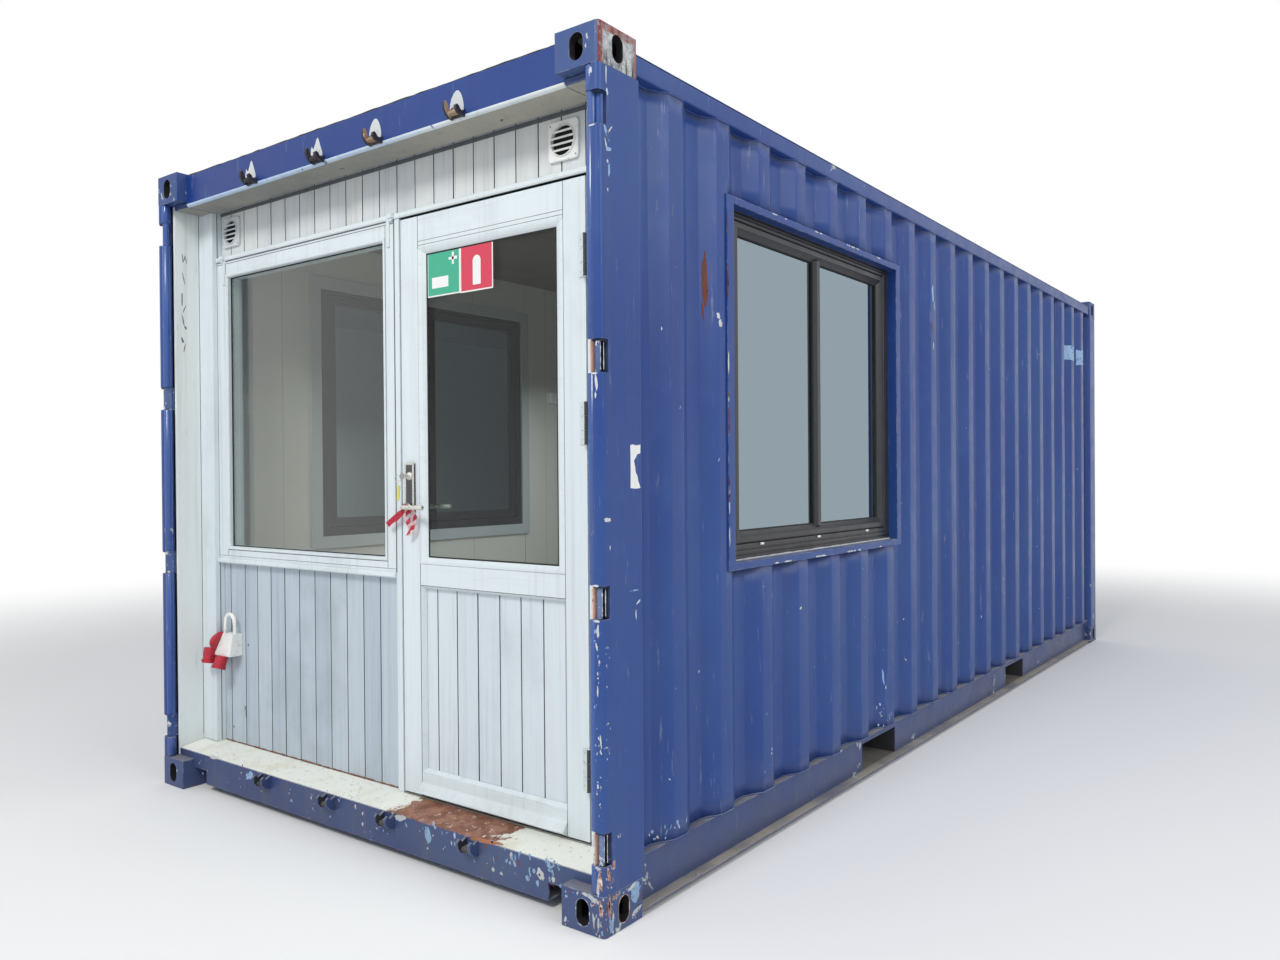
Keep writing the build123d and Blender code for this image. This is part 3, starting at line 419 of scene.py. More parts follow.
def steelPaint(name, colour, faded, under, chips, chipScale, edges, streaks, rust, rough, drift, extra={}):
    tree, shader, place = newMaterial(name)
    look = {"edgeWidth": 4, "dust": 0.45, "splash": 0.3, **extra}
    faded, under, dirt = srgb(*faded), srgb(*under), srgb(92, 90, 86)
    cloud = noiseAt(place, 9, 8, 0.65)
    base = mix(ramp(noiseAt(place, 0.8, 4, 0.6), 0.3, 0.7, 0, drift), srgb(*colour), faded)
    base = mix(ramp(cloud, 0.52, 0.72, 0, 0.3), base, faded)
    scuffs = noiseAt(stretched(tree, (30, 30, 3.5)), 1.6, 8, 0.7)
    base = mix(ramp(scuffs, 0.6, 0.74, 0, 0.35), base, under)
    base = mix(maskOf(tree, "rainStreaks", Width=26, Amount=streaks), base, dirt)
    base = mix(maskOf(tree, "groundSplash", Top=0.5, Amount=look["splash"]), base, dirt)
    dusty = maskOf(tree, "settledDust", Amount=look["dust"])
    base = mix(dusty, base, srgb(168, 162, 150))
    chipped = maskOf(tree, "paintChips", Scale=chipScale, Amount=chips)
    bare = larger(chipped, maskOf(tree, "edgeWear", Radius=look["edgeWidth"] * mm, Amount=edges))
    rustLook = useGroup(tree, "rustBloom", Scale=34)
    rusty = ramp(noiseAt(place, 14, 6, 0.7), 0.66 - 0.25 * rust, 0.74 - 0.2 * rust)
    base = mix(bare, base, mix(rusty, under, rustLook["Color"]))
    roughness = ramp(cloud, 0.3, 0.7, rough - 0.05, rough + 0.08)
    shader.inputs["Specular IOR Level"].default_value = 0.4
    rise = times(times(rustLook["Height"], bare), 0.8)
    height = plus(minus(times(scuffs, 0.15), bare), rise)
    roughness = calc("ADD", roughness, times(larger(bare, dusty), 0.35), True)
    finishSurface(shader, base, roughness, height, 0.3, 0.4 * mm)


# colour, faded colour and colour under the paint; share of chips and their scale; worn edges, streaks, rust,
# roughness and drift between the two colours
steelLooks = {
    "blueSide": ((24, 60, 131), (52, 86, 146), (176, 184, 190), 0.1, 8, 0.12, 0.16, 0.3, 0.36, 0.5),
    "bluePost": ((24, 60, 131), (52, 86, 146), (176, 184, 190), 0.24, 8, 0.55, 0.2, 0.3, 0.36, 0.5,
        {"edgeWidth": 3}),
    "blueHeader": ((20, 52, 122), (42, 72, 136), (176, 184, 190), 0.14, 8, 0.25, 0.05, 0.3, 0.36, 0.5),
    "blueSill": ((30, 54, 112), (68, 90, 134), (152, 166, 184), 0.33, 26, 0.7, 0.4, 0.35, 0.45, 0.9),
    "blueCasting": ((40, 66, 124), (72, 94, 142), (186, 192, 190), 0.36, 24, 0.75, 0.2, 0.4, 0.5, 0.5),
    "whiteSteel": ((224, 231, 232), (230, 232, 226), (120, 120, 112), 0.12, 8, 0.25, 0.22, 0.5, 0.5, 0.5,
        {"dust": 0.2}),
    "headerLip": ((166, 192, 222), (226, 230, 226), (120, 140, 176), 0.4, 24, 0.5, 0.2, 0.3, 0.5, 0.9),
    "soffitGrey": ((126, 128, 124), (172, 168, 156), (90, 88, 82), 0.3, 8, 0.2, 0.2, 0.3, 0.7, 0.9),
    "blueRail": ((24, 60, 131), (52, 86, 146), (176, 184, 190), 0.3, 8, 0.5, 0.1, 0.3, 0.36, 0.5,
        {"dust": 0.95, "splash": 0.55}),
    "baseSteel": ((40, 46, 62), (60, 60, 62), (176, 184, 190), 0.35, 8, 0.4, 0.2, 0.9, 0.6, 0.5),
    "roofSteel": ((24, 60, 131), (84, 98, 132), (176, 184, 190), 0.3, 8, 0.4, 0.2, 0.5, 0.36, 0.5),
    # lighter blue than bluePost, as painted sheen on the rounded post noses, besides the glossy coat
    "glossPost": ((34, 72, 146), (62, 98, 162), (176, 184, 190), 0.2, 8, 0.2, 0.2, 0.3, 0.22, 0.5),
    "pinkRust": ((158, 104, 92), (196, 158, 146), (226, 208, 198), 0.55, 46, 0.3, 0, 0.5, 0.7, 0.5),
    "paleRust": ((228, 176, 152), (240, 212, 198), (246, 236, 228), 0.5, 50, 0.3, 0, 0.4, 0.7, 0.5),
    "shadedBlue": ((22, 32, 58), (40, 54, 88), (120, 132, 156), 0.3, 40, 0.3, 0, 0.3, 0.6, 0.5),
    "creamRust": ((128, 96, 78), (186, 166, 138), (222, 208, 180), 0.5, 50, 0.6, 0, 0.4, 0.7, 0.5),
    "oldRust": ((176, 104, 70), (196, 136, 100), (226, 200, 180), 0.4, 40, 0.3, 0, 0.6, 0.75, 0.5),
    "wornBlue": ((44, 72, 136), (120, 138, 176), (214, 218, 222), 0.5, 40, 0.5, 0, 0.3, 0.4, 0.8),
    # black steel, also used as painted shade in the recess behind the post noses and inside the sill keepers
    "blackSteel": ((28, 31, 44), (50, 50, 58), (120, 112, 104), 0.3, 30, 0.6, 0, 0.5, 0.5, 0.5),
    "wornPrimer": ((206, 210, 210), (182, 190, 200), (150, 150, 146), 0.4, 30, 0, 0, 0.4, 0.6, 0.5),
    "paleBluePaint": ((150, 182, 216), (122, 156, 198), (70, 100, 150), 0.5, 30, 0, 0, 0, 0.5, 0.5),
    "rustBrown": ((104, 54, 42), (134, 84, 62), (70, 50, 50), 0.4, 40, 0, 0, 0.8, 0.8, 0.5),
}
for name, look in steelLooks.items():
    steelPaint(name, *look)
for node in looks["glossPost"].node_tree.nodes:
    if node.type == "BSDF_PRINCIPLED":
        node.inputs["Coat Weight"].default_value = 0.4
        node.inputs["Coat Roughness"].default_value = 0.3


def wornCastingPaint(name, rustFrom=2.572, eyeLevel=2.53):
    # pale worn paint with rust along the top edge and dirt that ran down from the eye
    tree, shader, place = newMaterial(name)
    level = parts(place)["Z"]
    cloud = noiseAt(place, 26, 8, 0.7)
    flakes = ramp(noiseAt(place, 48, 8, 0.72), 0.5, 0.54)
    base = mix(ramp(cloud, 0.4, 0.6), srgb(198, 200, 198), srgb(152, 158, 168))
    base = mix(times(flakes, 0.55), base, srgb(120, 118, 118))
    runs = noiseAt(stretched(tree, (70, 70, 9)), 1, 6, 0.7)
    below = ramp(level, eyeLevel - 0.05, eyeLevel, 1, 0.2)
    base = mix(times(ramp(runs, 0.52, 0.6), below), base, srgb(40, 40, 44))
    rusty = ramp(plus(level, times(cloud, 0.035)), rustFrom + 0.007, rustFrom + 0.015)
    depth = plus(parts(place)["Y"], times(cloud, 0.03))
    rusty = larger(rusty, ramp(depth, -2.998, -2.991, 1, 0))
    rusty = larger(rusty, ramp(depth, -2.852, -2.846))
    rusty = times(rusty, ramp(flakes, 0, 1, 1, 0.35))
    rusty = larger(rusty, times(maskOf(tree, "edgeWear", Radius=7 * mm, Amount=1), 0.85))
    base = mix(rusty, base, mix(ramp(runs, 0.4, 0.6), srgb(106, 46, 44), srgb(156, 100, 92)))
    finishSurface(shader, base, ramp(cloud, 0.3, 0.7, 0.55, 0.8), plus(cloud, flakes), 0.4, 0.6 * mm)


def sillPaint(name, wornFrom=0.235, wornTo=0.735):
    # cream tread with yellow stains, worn down to brown primer in front of the door
    tree, shader, place = newMaterial(name)
    ragged = plus(parts(place)["X"], times(noiseAt(place, 12, 8, 0.7), 0.24))
    inside = times(ramp(ragged, wornFrom + 0.11, wornFrom + 0.13),
                   ramp(ragged, wornTo + 0.1, wornTo + 0.12, 1, 0))
    cloud = noiseAt(place, 22, 8, 0.65)
    stains = ramp(noiseAt(place, 7, 7, 0.65), 0.5, 0.68, 0, 0.45)
    cream = mix(stains, srgb(232, 234, 226), srgb(210, 198, 164))
    cracks = ramp(noiseAt(place, 60, 8, 0.75), 0.6, 0.63, 0, 0.8)
    cream = mix(cracks, cream, srgb(128, 112, 96))
    brown = mix(ramp(cloud, 0.35, 0.65), srgb(116, 74, 58), srgb(160, 116, 96))
    flecks = ramp(noiseAt(place, 42, 7, 0.7), 0.6, 0.64)
    base = mix(inside, cream, mix(flecks, brown, srgb(220, 214, 200)))
    base = mix(maskOf(tree, "edgeWear", Radius=5 * mm, Amount=0.8), base, srgb(176, 150, 130))
    peel = minus(times(cloud, 0.4), larger(inside, cracks))
    finishSurface(shader, base, ramp(cloud, 0.3, 0.7, 0.5, 0.75), peel, 0.6, 0.8 * mm)


wornCastingPaint("wornCasting")
sillPaint("creamSill")


# Finishes of timber, plastic, metal and glass

def timberPaint(name, colour, light, dark, along, grain, streaks, splash, seams, wear):
    tree, shader, place = newMaterial(name)
    colour, light, dark = srgb(*colour), srgb(*light), srgb(*dark)
    if along == "X":
        split = parts(place)
        place = addNode(tree, "CombineXYZ", {"X": split["Z"], "Y": split["Y"], "Z": split["X"]}).outputs[0]
    wood = useGroup(tree, "woodGrain", Vector=place)
    tone = addNode(tree, "Attribute", attribute_name="boardTone").outputs["Fac"]
    base = mix(times(tone, 0.6), colour, light)
    base = mix(ramp(wood["Tone"], 0.5, 0.66, 0, grain), base, light)
    base = mix(ramp(wood["Tone"], 0.48, 0.34, 0, grain), base, dark)
    cloud = noiseAt(place, 3, 6, 0.6)
    base = mix(ramp(cloud, 0.5, 0.75, 0, 0.3), base, dark)
    if streaks:
        base = mix(maskOf(tree, "rainStreaks", Width=34, Amount=streaks), base, srgb(138, 142, 138))
    if splash:
        base = mix(maskOf(tree, "groundSplash", Top=0.45, Amount=splash), base, srgb(134, 130, 118))
    if wear:
        base = mix(maskOf(tree, "edgeWear", Radius=3 * mm, Amount=wear), base, srgb(150, 150, 142))
    height = wood["Height"]
    if seams:
        split = parts(place)
        run = calc("ABSOLUTE", plus(split["Y"], times(split["X"], 1)))
        seam = ramp(calc("PINGPONG", run, seams / 2), 0, 2.5 * mm, 1, 0)
        base = mix(times(seam, 0.6), base, srgb(120, 118, 108))
        height = minus(height, seam)
    finishSurface(shader, base, ramp(cloud, 0.3, 0.7, 0.52, 0.7), height, 0.45, 0.5 * mm)


def smoothFinish(name, colour, other, rough=0.4, metal=0, mottle=0.3, scale=12, wear=0,
                 wearColour=(150, 150, 150), coat=0, grime=0):
    tree, shader, place = newMaterial(name)
    cloud = noiseAt(place, scale, 7, 0.6)
    base = mix(ramp(cloud, 0.35, 0.7, 0, mottle), srgb(*colour), srgb(*other))
    if grime:
        spots = ramp(noiseAt(place, scale * 3, 8, 0.7), 0.56, 0.66, 0, grime)
        base = mix(spots, base, srgb(84, 78, 70))
    if wear:
        base = mix(maskOf(tree, "edgeWear", Radius=3 * mm, Amount=wear), base, srgb(*wearColour))
    shader.inputs["Metallic"].default_value = metal
    shader.inputs["Coat Weight"].default_value = coat
    rough = ramp(cloud, 0.3, 0.7, rough - 0.06, rough + 0.08)
    finishSurface(shader, base, rough, noiseAt(place, 300, 3), 0.1, 0.2 * mm)


def clearGlass(name, tint, reflect, shine=(255, 255, 255)):
    tree, shader, place = newMaterial(name)
    for label, value in (("Base Color", srgb(*tint)), ("Roughness", 0), ("IOR", reflect),
                         ("Specular Tint", srgb(*shine)), ("Transmission Weight", 1)):
        shader.inputs[label].default_value = value
    addBump(shader, noiseAt(place, 1.6, 2), 0.04, 2 * mm)
    path = addNode(tree, "LightPath").outputs
    through = larger(path["Is Shadow Ray"], path["Is Diffuse Ray"])
    clear = addNode(tree, "BsdfTransparent", {"Color": (0.86, 0.88, 0.87, 1)})
    blendOut(tree, through, shader, clear)


# colour, light and dark grain; run of the grain, grain, streaks, splash, distance of seams, worn edges
timberLooks = {
    "lowerBoards": ((174, 187, 199), (196, 206, 214), (134, 145, 155), "Z", 0.35, 0.2, 0.3, 0, 0.4),
    "topBoards": ((206, 212, 216), (218, 220, 218), (158, 164, 166), "Z", 0.35, 0.2, 0.3, 0, 0.4),
    "doorBoards": ((200, 211, 219), (218, 225, 230), (162, 172, 180), "Z", 0.35, 0.2, 0.3, 0, 0.4),
    "joineryUpright": ((214, 224, 229), (226, 232, 234), (176, 184, 188), "Z", 0.25, 0.2, 0.3, 0, 0.4),
    "joineryLevel": ((214, 224, 228), (226, 232, 234), (176, 184, 188), "X", 0.25, 0.2, 0.3, 0, 0.4),
    # dark grey for grooves, joints and dark marks, also painted shadow at the head of the boards and under
    # the drip moulding
    "grooveDark": ((92, 98, 102), (112, 118, 120), (60, 64, 66), "Z", 0.35, 0.2, 0.3, 0, 0.4),
    "insideWall": ((206, 205, 196), (216, 214, 206), (186, 184, 174), "Z", 0.1, 0, 0.1, 0.6, 0),
    "insideCeiling": ((112, 104, 92), (126, 116, 102), (92, 84, 74), "Z", 0.1, 0, 0, 0.6, 0),
    "insideTrim": ((176, 182, 184), (190, 194, 194), (156, 162, 162), "Z", 0.1, 0, 0, 0, 0),
    "floorWood": ((112, 98, 80), (140, 124, 100), (78, 68, 56), "Z", 0.7, 0, 0, 0.24, 0.4),
}
for name, look in timberLooks.items():
    timberPaint(name, *look)
smoothLooks = {
    "anthracite": ((38, 39, 43), (54, 54, 58),
        {"rough": 0.36, "wear": 0.25, "grime": 0.05, "wearColour": (104, 104, 106)}),
    "blackRubber": ((20, 20, 22), (40, 40, 40), {"rough": 0.7}),
    "brightSteel": ((214, 213, 206), (184, 181, 172),
        {"rough": 0.28, "metal": 0.6, "wear": 0.2, "grime": 0.2}),
    "greySteel": ((78, 82, 88), (58, 62, 66), {"rough": 0.38, "metal": 0.4, "grime": 0.3}),
    "zincSteel": ((140, 142, 138), (92, 90, 84), {"rough": 0.5, "metal": 0.5, "wear": 0.4, "grime": 0.5}),
    "whitePlastic": ((236, 238, 235), (216, 218, 214), {"rough": 0.4, "mottle": 0.5, "grime": 0.25}),
    "redPlastic": ((186, 36, 56), (150, 28, 44), {"rough": 0.38, "mottle": 0.6, "grime": 0.15}),
    # near-black painted shade for hollows: inside the castings and vents, and in screw slots
    "darkHollow": ((18, 19, 22), (30, 30, 32), {"rough": 0.9}),
    "signGreen": ((48, 166, 132), (62, 174, 142), {"rough": 0.35, "coat": 0.3}),
    "signRed": ((206, 48, 76), (196, 60, 86), {"rough": 0.35, "coat": 0.3}),
    "signWhite": ((232, 234, 232), (220, 222, 220), {"rough": 0.35, "coat": 0.3}),
    "tagYellow": ((206, 204, 92), (190, 190, 80), {"rough": 0.4}),
    "paintedOver": ((206, 214, 216), (176, 182, 182), {"rough": 0.45, "wear": 0.4, "grime": 0.3}),
    # dark finish for the hinge faces turned towards the post: painted shade
    "hingeDirt": ((62, 70, 74), (84, 74, 66), {"rough": 0.6, "wear": 0.3}),
}
for name, (colour, other, options) in smoothLooks.items():
    smoothFinish(name, colour, other, **options)
clearGlass("clearPane", (226, 232, 230), 1.45)
clearGlass("doorPane", (206, 216, 218), 1.28)
# the side panes reflect strongly, and their pale blue reflection tint is a painted reflection of sky
clearGlass("sidePane", (50, 62, 72), 4.4, (218, 238, 250))
print("finishes built")


# Corrugated side sheets, with the slight ripples and dents of pressed steel

sideSheets = {"pitch": 0.278, "crest": 0.072, "slope": 0.068, "depth": 0.036, "bend": 0.08, "crests": 10,
              "thickness": 2 * mm, "ripple": 1.3 * mm, "rowHeight": 0.06, "weld": 3 * mm,
              "dents": ((-1, 0.3, 0.05, 0.1, 14), (-0.42, 0.62, 0.16, 0.22, 3.5), (1.4, 0.5, 0.2, 0.3, 3),
                        (2.2, 1.9, 0.22, 0.3, 3), (-2.6, 1.2, 0.12, 0.5, 2), (-1.2, 0.45, 0.1, 0.2, 4))}
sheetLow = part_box("side_walls_front")[0]
rearLow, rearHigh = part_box("side_walls_rear")
surroundLow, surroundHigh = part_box("window_surrounds")


def softStep(share, bend):
    # 0 to 1 in a straight line with rounded ends
    if share < -bend:
        return 0
    if share < bend:
        return (share + bend) ** 2 / (4 * bend)
    if share < 1 - bend:
        return share
    if share < 1 + bend:
        return 1 - (1 + bend - share) ** 2 / (4 * bend)
    return 1


def sheetFace(y, z, side):
    # how far the outer face of the sheet stands from the middle of the cabin
    size = sideSheets
    end = size["crests"] * size["pitch"] - (size["pitch"] - size["crest"] - 2 * size["slope"]) / 2
    if abs(y) >= end:
        share = 1
    else:
        away = abs(y % size["pitch"] - size["pitch"] / 2)
        share = softStep((away - size["crest"] / 2) / size["slope"], size["bend"])
    x = rearHigh.x - size["depth"] * share
    fade = max(0, min(1, (z - rearLow.z) / 0.1, (rearHigh.z - z) / 0.1))
    x += size["ripple"] * fade * noise.noise(Vector((y * 1.3, z * 0.9, side * 7)))
    for dentY, dentZ, wide, tall, deep in size["dents"] if side > 0 else ():
        x -= deep * mm * math.exp(-((y - dentY) / wide) ** 2 - ((z - dentZ) / tall) ** 2) * fade
    return x


def columnPlaces(start, end):
    size = sideSheets
    bend = size["bend"]
    shares = (-bend, -bend / 3, bend / 3, bend, 0.3, 0.7, 1 - bend, 1 - bend / 3, 1 + bend / 3, 1 + bend)
    places = {start, end, surroundLow.y, surroundHigh.y}
    for crest in range(-size["crests"], size["crests"]):
        middle = (crest + 0.5) * size["pitch"]
        places.add(middle)
        for share in shares:
            for sign in (-1, 1):
                places.add(middle + sign * (size["crest"] / 2 + share * size["slope"]))
    return sorted(y for y in places if start <= y <= end)


def rowPlaces(start, end):
    count = max(2, round((end - start) / sideSheets["rowHeight"]))
    return [start + (end - start) * i / count for i in range(count + 1)]


def buildSideSheet(side, name):
    bm = bmesh.new()
    columns = columnPlaces(sheetLow.y, rearHigh.y)
    rows = sorted({*rowPlaces(rearLow.z, surroundLow.z), *rowPlaces(surroundLow.z, surroundHigh.z),
                   *rowPlaces(surroundHigh.z, rearHigh.z)})
    grid = [[bm.verts.new((side * sheetFace(y, z, side), y, z)) for y in columns] for z in rows]
    for r in range(len(rows) - 1):
        middleZ = (rows[r] + rows[r + 1]) / 2
        for c in range(len(columns) - 1):
            middleY = (columns[c] + columns[c + 1]) / 2
            if surroundLow.y < middleY < surroundHigh.y and surroundLow.z < middleZ < surroundHigh.z:
                continue
            corners = [grid[r][c], grid[r][c + 1], grid[r + 1][c + 1], grid[r + 1][c]]
            bm.faces.new(corners if side > 0 else list(reversed(corners)))
    loose = [vert for vert in bm.verts if not vert.link_faces]
    bmesh.ops.delete(bm, geom=loose, context="VERTS")
    for face in bm.faces:
        face.smooth = True
    mesh = bpy.data.meshes.new(name)
    bm.to_mesh(mesh)
    bm.free()
    mesh.materials.append(looks["blueSide"])
    piece = bpy.data.objects.new(name, mesh)
    bpy.context.scene.collection.objects.link(piece)
    solid = piece.modifiers.new("thickness", "SOLIDIFY")
    solid.thickness = sideSheets["thickness"]
    solid.offset = -1
    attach(piece, "cabin")
    return piece


rightSheet = buildSideSheet(1, "side_sheet_right")
buildSideSheet(-1, "side_sheet_left")
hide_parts("side_walls_front", "side_walls_window_bay", "side_walls_rear")

# weld beads where the sheets meet the rails
bm = bmesh.new()
for side in (-1, 1):
    for z in (rearLow.z + 2 * mm, rearHigh.z - 2 * mm):
        line = [(side * (sheetFace(y, z, side) + 0.5 * mm), y, z)
                for y in columnPlaces(sheetLow.y, rearHigh.y)]
        addTube(bm, line, sideSheets["weld"], 6, wobble=0.35)
finishMesh("sheet_welds", bm, "bluePost", 60)
print("side sheets built")


# Steel frame, softened copies of the CAD pieces

postOuter = 1.178        # beyond this the channels stand behind the post noses
castings = {"innerX": 1.057, "innerY": 2.851, "height": 0.118, "edge": 6.5 * mm}


# faces behind the post noses, beyond postOuter, are near black: painted shade in the recess between nose and
# channel
def channelPaint(face):
    return int(abs(face.calc_center_median().x) > postOuter)


def castingPaint(face):
    # 1: worn side of the right top casting, 2: painted shade inside the hollow
    place = face.calc_center_median()
    edge = castings["edge"]
    height = place.z if place.z < 0.2 else place.z - topCastingLow.z
    across = castings["innerX"] + edge < abs(place.x) < cadBox[1].x - edge
    along = castings["innerY"] + edge < abs(place.y) < cadBox[1].y - edge
    if across and along and edge < height < castings["height"] - edge:
        return 2
    return int(place.z > 2 and place.x > 1 and face.normal.x > 0.6 and place.y < 0)


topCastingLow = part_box("top_corner_castings")[0]
for node, finishes, bevel, paint in (
        ("front_posts", "bluePost", 2.5, None), ("rear_posts", "bluePost", 2.5, None),
        ("front_post_channels", "whiteSteel blackSteel", 2, channelPaint),
        ("top_side_rails", "bluePost", 2, None), ("bottom_side_rails", "blueRail", 1.5, None),
        ("rear_rails", "bluePost", 2, None), ("window_surrounds", "bluePost", 1.5, None)):
    dressNode(node, finishes, bevel=bevel * mm, paint=paint)
for node in ("top_corner_castings", "bottom_corner_castings"):
    dressNode(node, "blueCasting wornCasting darkHollow", bevel=5 * mm, segments=3, paint=castingPaint)
for node, look in (("cross_members", "baseSteel"), ("fork_pockets", "baseSteel"), ("rear_wall", "blueSide"),
                   ("roof", "roofSteel")):
    useMaterial(node, look)
print("steel frame dressed")


# Header: blue face, pale worn lip and grey underside

header = {"lip": 0.017, "topLine": 4 * mm, "skirt": 0.021, "skirtEnd": 1.156}
headerLow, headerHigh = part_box("front_header")


def isSoffit(face):
    return face.normal.z < -0.9 and face.calc_center_median().y > headerLow.y + 0.02


def headerPaint(face):
    if face.calc_center_median().z > headerLow.z + header["lip"]:
        return 0
    return 2 if isSoffit(face) else 1


headerPiece = dressNode("front_header", "blueHeader headerLip soffitGrey", bevel=1.5 * mm,
                        paint=headerPaint)
for vertex in headerPiece.data.vertices:
    if vertex.co.z < headerLow.z + 0.04:
        vertex.co.z -= header["skirt"]
headerFoot = headerLow.z - header["skirt"]
bm = bmesh.new()
for side in (-1, 1):
    addBox(bm, (side * (headerHigh.x + 0.5 * mm), headerLow.y + 1 * mm, headerFoot),
           (side * header["skirtEnd"], headerHigh.y - 2 * mm, headerLow.z - 1 * mm), 3 * mm, 1)
for face in bm.faces:
    face.material_index = int(isSoffit(face))
finishMesh("header_skirt_ends", bm, "blueSill soffitGrey")
# black line along the top front edge of the header
bm = bmesh.new()
topLineY, topLineZ = headerLow.y + 5 * mm, headerHigh.z + 1 * mm
line = straightLine((headerLow.x, topLineY, topLineZ), (headerHigh.x, topLineY, topLineZ), 60)
addTube(bm, line, header["topLine"], 8, wobble=0.35)
finishMesh("header_top_dark_line", bm, "blackRubber")

# Sill: cream tread, worn blue front

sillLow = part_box("front_sill")[0]
dressNode("front_sill", "blueSill creamSill", bevel=1.5 * mm,
          paint=lambda face: int(face.normal.z > 0.5))

# Keepers of the old door bolts: forked jaws, two of the header ones with a rusty inside; the sill ones are
# black inside, painted shade in the hollow of the jaw

keepers = {"header": (-0.56, -0.131, 0.197, 0.607), "sill": (-0.525, -0.112, 0.218, 0.63), "half": 0.032,
           "cheek": 11 * mm, "reach": 0.0405, "tall": 0.042, "low": 0.55, "sillLevel": 0.105,
           "headerCheek": ((0, -0.1), (-0.45, -0.05), (-0.8, 0.22), (-1, 0.6), (-1, 1.02), (-0.84, 1.22),
                           (-0.64, 1.02), (-0.5, 0.62), (-0.3, 0.52), (-0.12, 0.78), (0, 0.92)),
           "sillCheek": ((0, -0.25), (-0.6, -0.1), (-0.95, 0.3), (-1, 0.8), (-0.75, 1), (-0.5, 0.75),
                         (-0.2, 0.9), (0, 1))}


def alongX(u, v, out):
    # places (y, z, x): an outline seen from the side, pushed along X
    return Vector((out, u, v))


def buildKeepers(name, places, cheek, front, base, rusty, finishes):
    bm = bmesh.new()
    size = keepers
    for x, inside in zip(places, rusty):
        for side, share in ((-1, 1), (1, size["low"] if cheek == "headerCheek" else 1)):
            near = x + side * size["half"]
            outline = [(front + u * size["reach"], base + v * size["tall"] * (share if v > 0 else 1))
                       for u, v in size[cheek]]
            faces = addPrism(bm, outline, alongX, near, near - side * size["cheek"])
            faces[1].material_index = inside
        addBox(bm, (x - size["half"] + size["cheek"], front - size["reach"] * 0.75, base + 2 * mm),
               (x + size["half"] - size["cheek"], front, base + size["tall"] * 0.4), 3 * mm, inside)
        addBox(bm, (x - size["half"] * 0.8, front - 14 * mm, base - 3 * mm),
               (x + size["half"] * 0.8, front, base + size["tall"] * 0.4), 2 * mm, 0)
    for face in bm.faces:
        middle = face.calc_center_median()
        if middle.z > base + size["tall"] * 0.72 and face.calc_area() < 80 * mm * mm:
            face.material_index = 2 if rusty[min(range(4), key=lambda k: abs(places[k] - middle.x))] else 3
    bevelled = [edge for edge in bm.edges if len(edge.link_faces) == 2 and edge.calc_face_angle(0) > 0.5
                and edge.calc_length() > 6 * mm]
    bmesh.ops.bevel(bm, geom=bevelled, offset=1.2 * mm, segments=2, affect="EDGES", clamp_overlap=True,
                    material=-1)
    return finishMesh(name, bm, finishes, 40)


keeperPiece = buildKeepers("header_bolt_keepers", keepers["header"], "headerCheek", headerLow.y,
                           headerFoot + 8 * mm, (0, 0, 1, 1),
                           "blackSteel creamRust pinkRust paleBluePaint")
sillKeepers = buildKeepers("sill_bolt_keepers", keepers["sill"], "sillCheek", sillLow.y,
                           keepers["sillLevel"], (1, 1, 1, 1),
                           "blueSill blackSteel wornBlue")
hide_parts("cam_keepers")
print("header, sill and keepers built")


# What is left of the old door hinges in the notches of the posts

notches = {"levels": (2.349, 1.649, 0.949, 0.249), "half": 0.0475, "pin": 7.5 * mm, "pinAt": (1.1975, -3.013),
           "topBarrel": 13 * mm, "nose": (1.1795, -3.0125), "noseRadius": 16 * mm, "back": -2.984,
           "edgeFrom": 0.12, "edgeTo": 2.471,
           "strips": ((1.1812, 1.1832, -3.0282, 1), (1.182, 1.216, -2.996, 2)),
           "glints": ((1.1806, -3.0284, 1.1), (1.2042, -3.011, 1.4), (1.21, -3.003, 1.1))}
bm = bmesh.new()
for side in (-1, 1):
    for number, level in enumerate(notches["levels"]):
        low, high = level - notches["half"] + 1 * mm, level + notches["half"] - 1 * mm
        x, y = notches["pinAt"]
        if number:
            addTube(bm, [(side * x, y, low), (side * x, y, high)], notches["pin"], 20, index=0)
        else:
            x, y = notches["nose"]
            addTube(bm, [(side * x, y, low), (side * x, y, high)], notches["topBarrel"], 28, index=4)
        # the thin front strip is pale rust; the back plate in shadedBlue is painted shade at the back of the
        # notch
        for near, far, front, index in notches["strips"] if number else notches["strips"][1:]:
            addBox(bm, (side * near, front, low), (side * far, notches["back"], high), 0.6 * mm,
                   index if side > 0 else 2 * (index // 2))
        # pale bars along the pin and the notch edges: painted highlights
        for x, y, reach in notches["glints"] if number and side > 0 else ():
            addTube(bm, straightLine((x, y, low), (x, y, high), 12)[1:-1], reach * mm, 8, 3, wobble=0.5)
        # dark cap under the top of each notch: painted shade
        addBox(bm, (side * 1.1815, -3.024, high - 5 * mm), (side * 1.215, -2.99, high), 2 * mm, 2)
finishMesh("old_hinge_lugs", bm, "wornBlue paleRust shadedBlue wornPrimer glossPost", 40)

# rolled front edge of the posts, between the notches
reach = notches["half"] + 1 * mm
levels = [level + step for level in reversed(notches["levels"]) for step in (-reach, reach)]
levels = [notches["edgeFrom"], *levels, notches["edgeTo"]]
bm = bmesh.new()
for side in (-1, 1):
    for low, high in zip(levels[::2], levels[1::2]):
        x, y = notches["nose"]
        radius = notches["noseRadius"]
        line = [(side * x, y, z) for z in (low, low + 1.5 * mm, high - 1.5 * mm, high)]
        addTube(bm, line, [radius - 1.5 * mm, radius, radius, radius - 1.5 * mm], 32)
finishMesh("post_front_edges", bm, "glossPost", 50)
print("hinge notches filled")


# Worn spots: thin irregular skins that lie on the steel

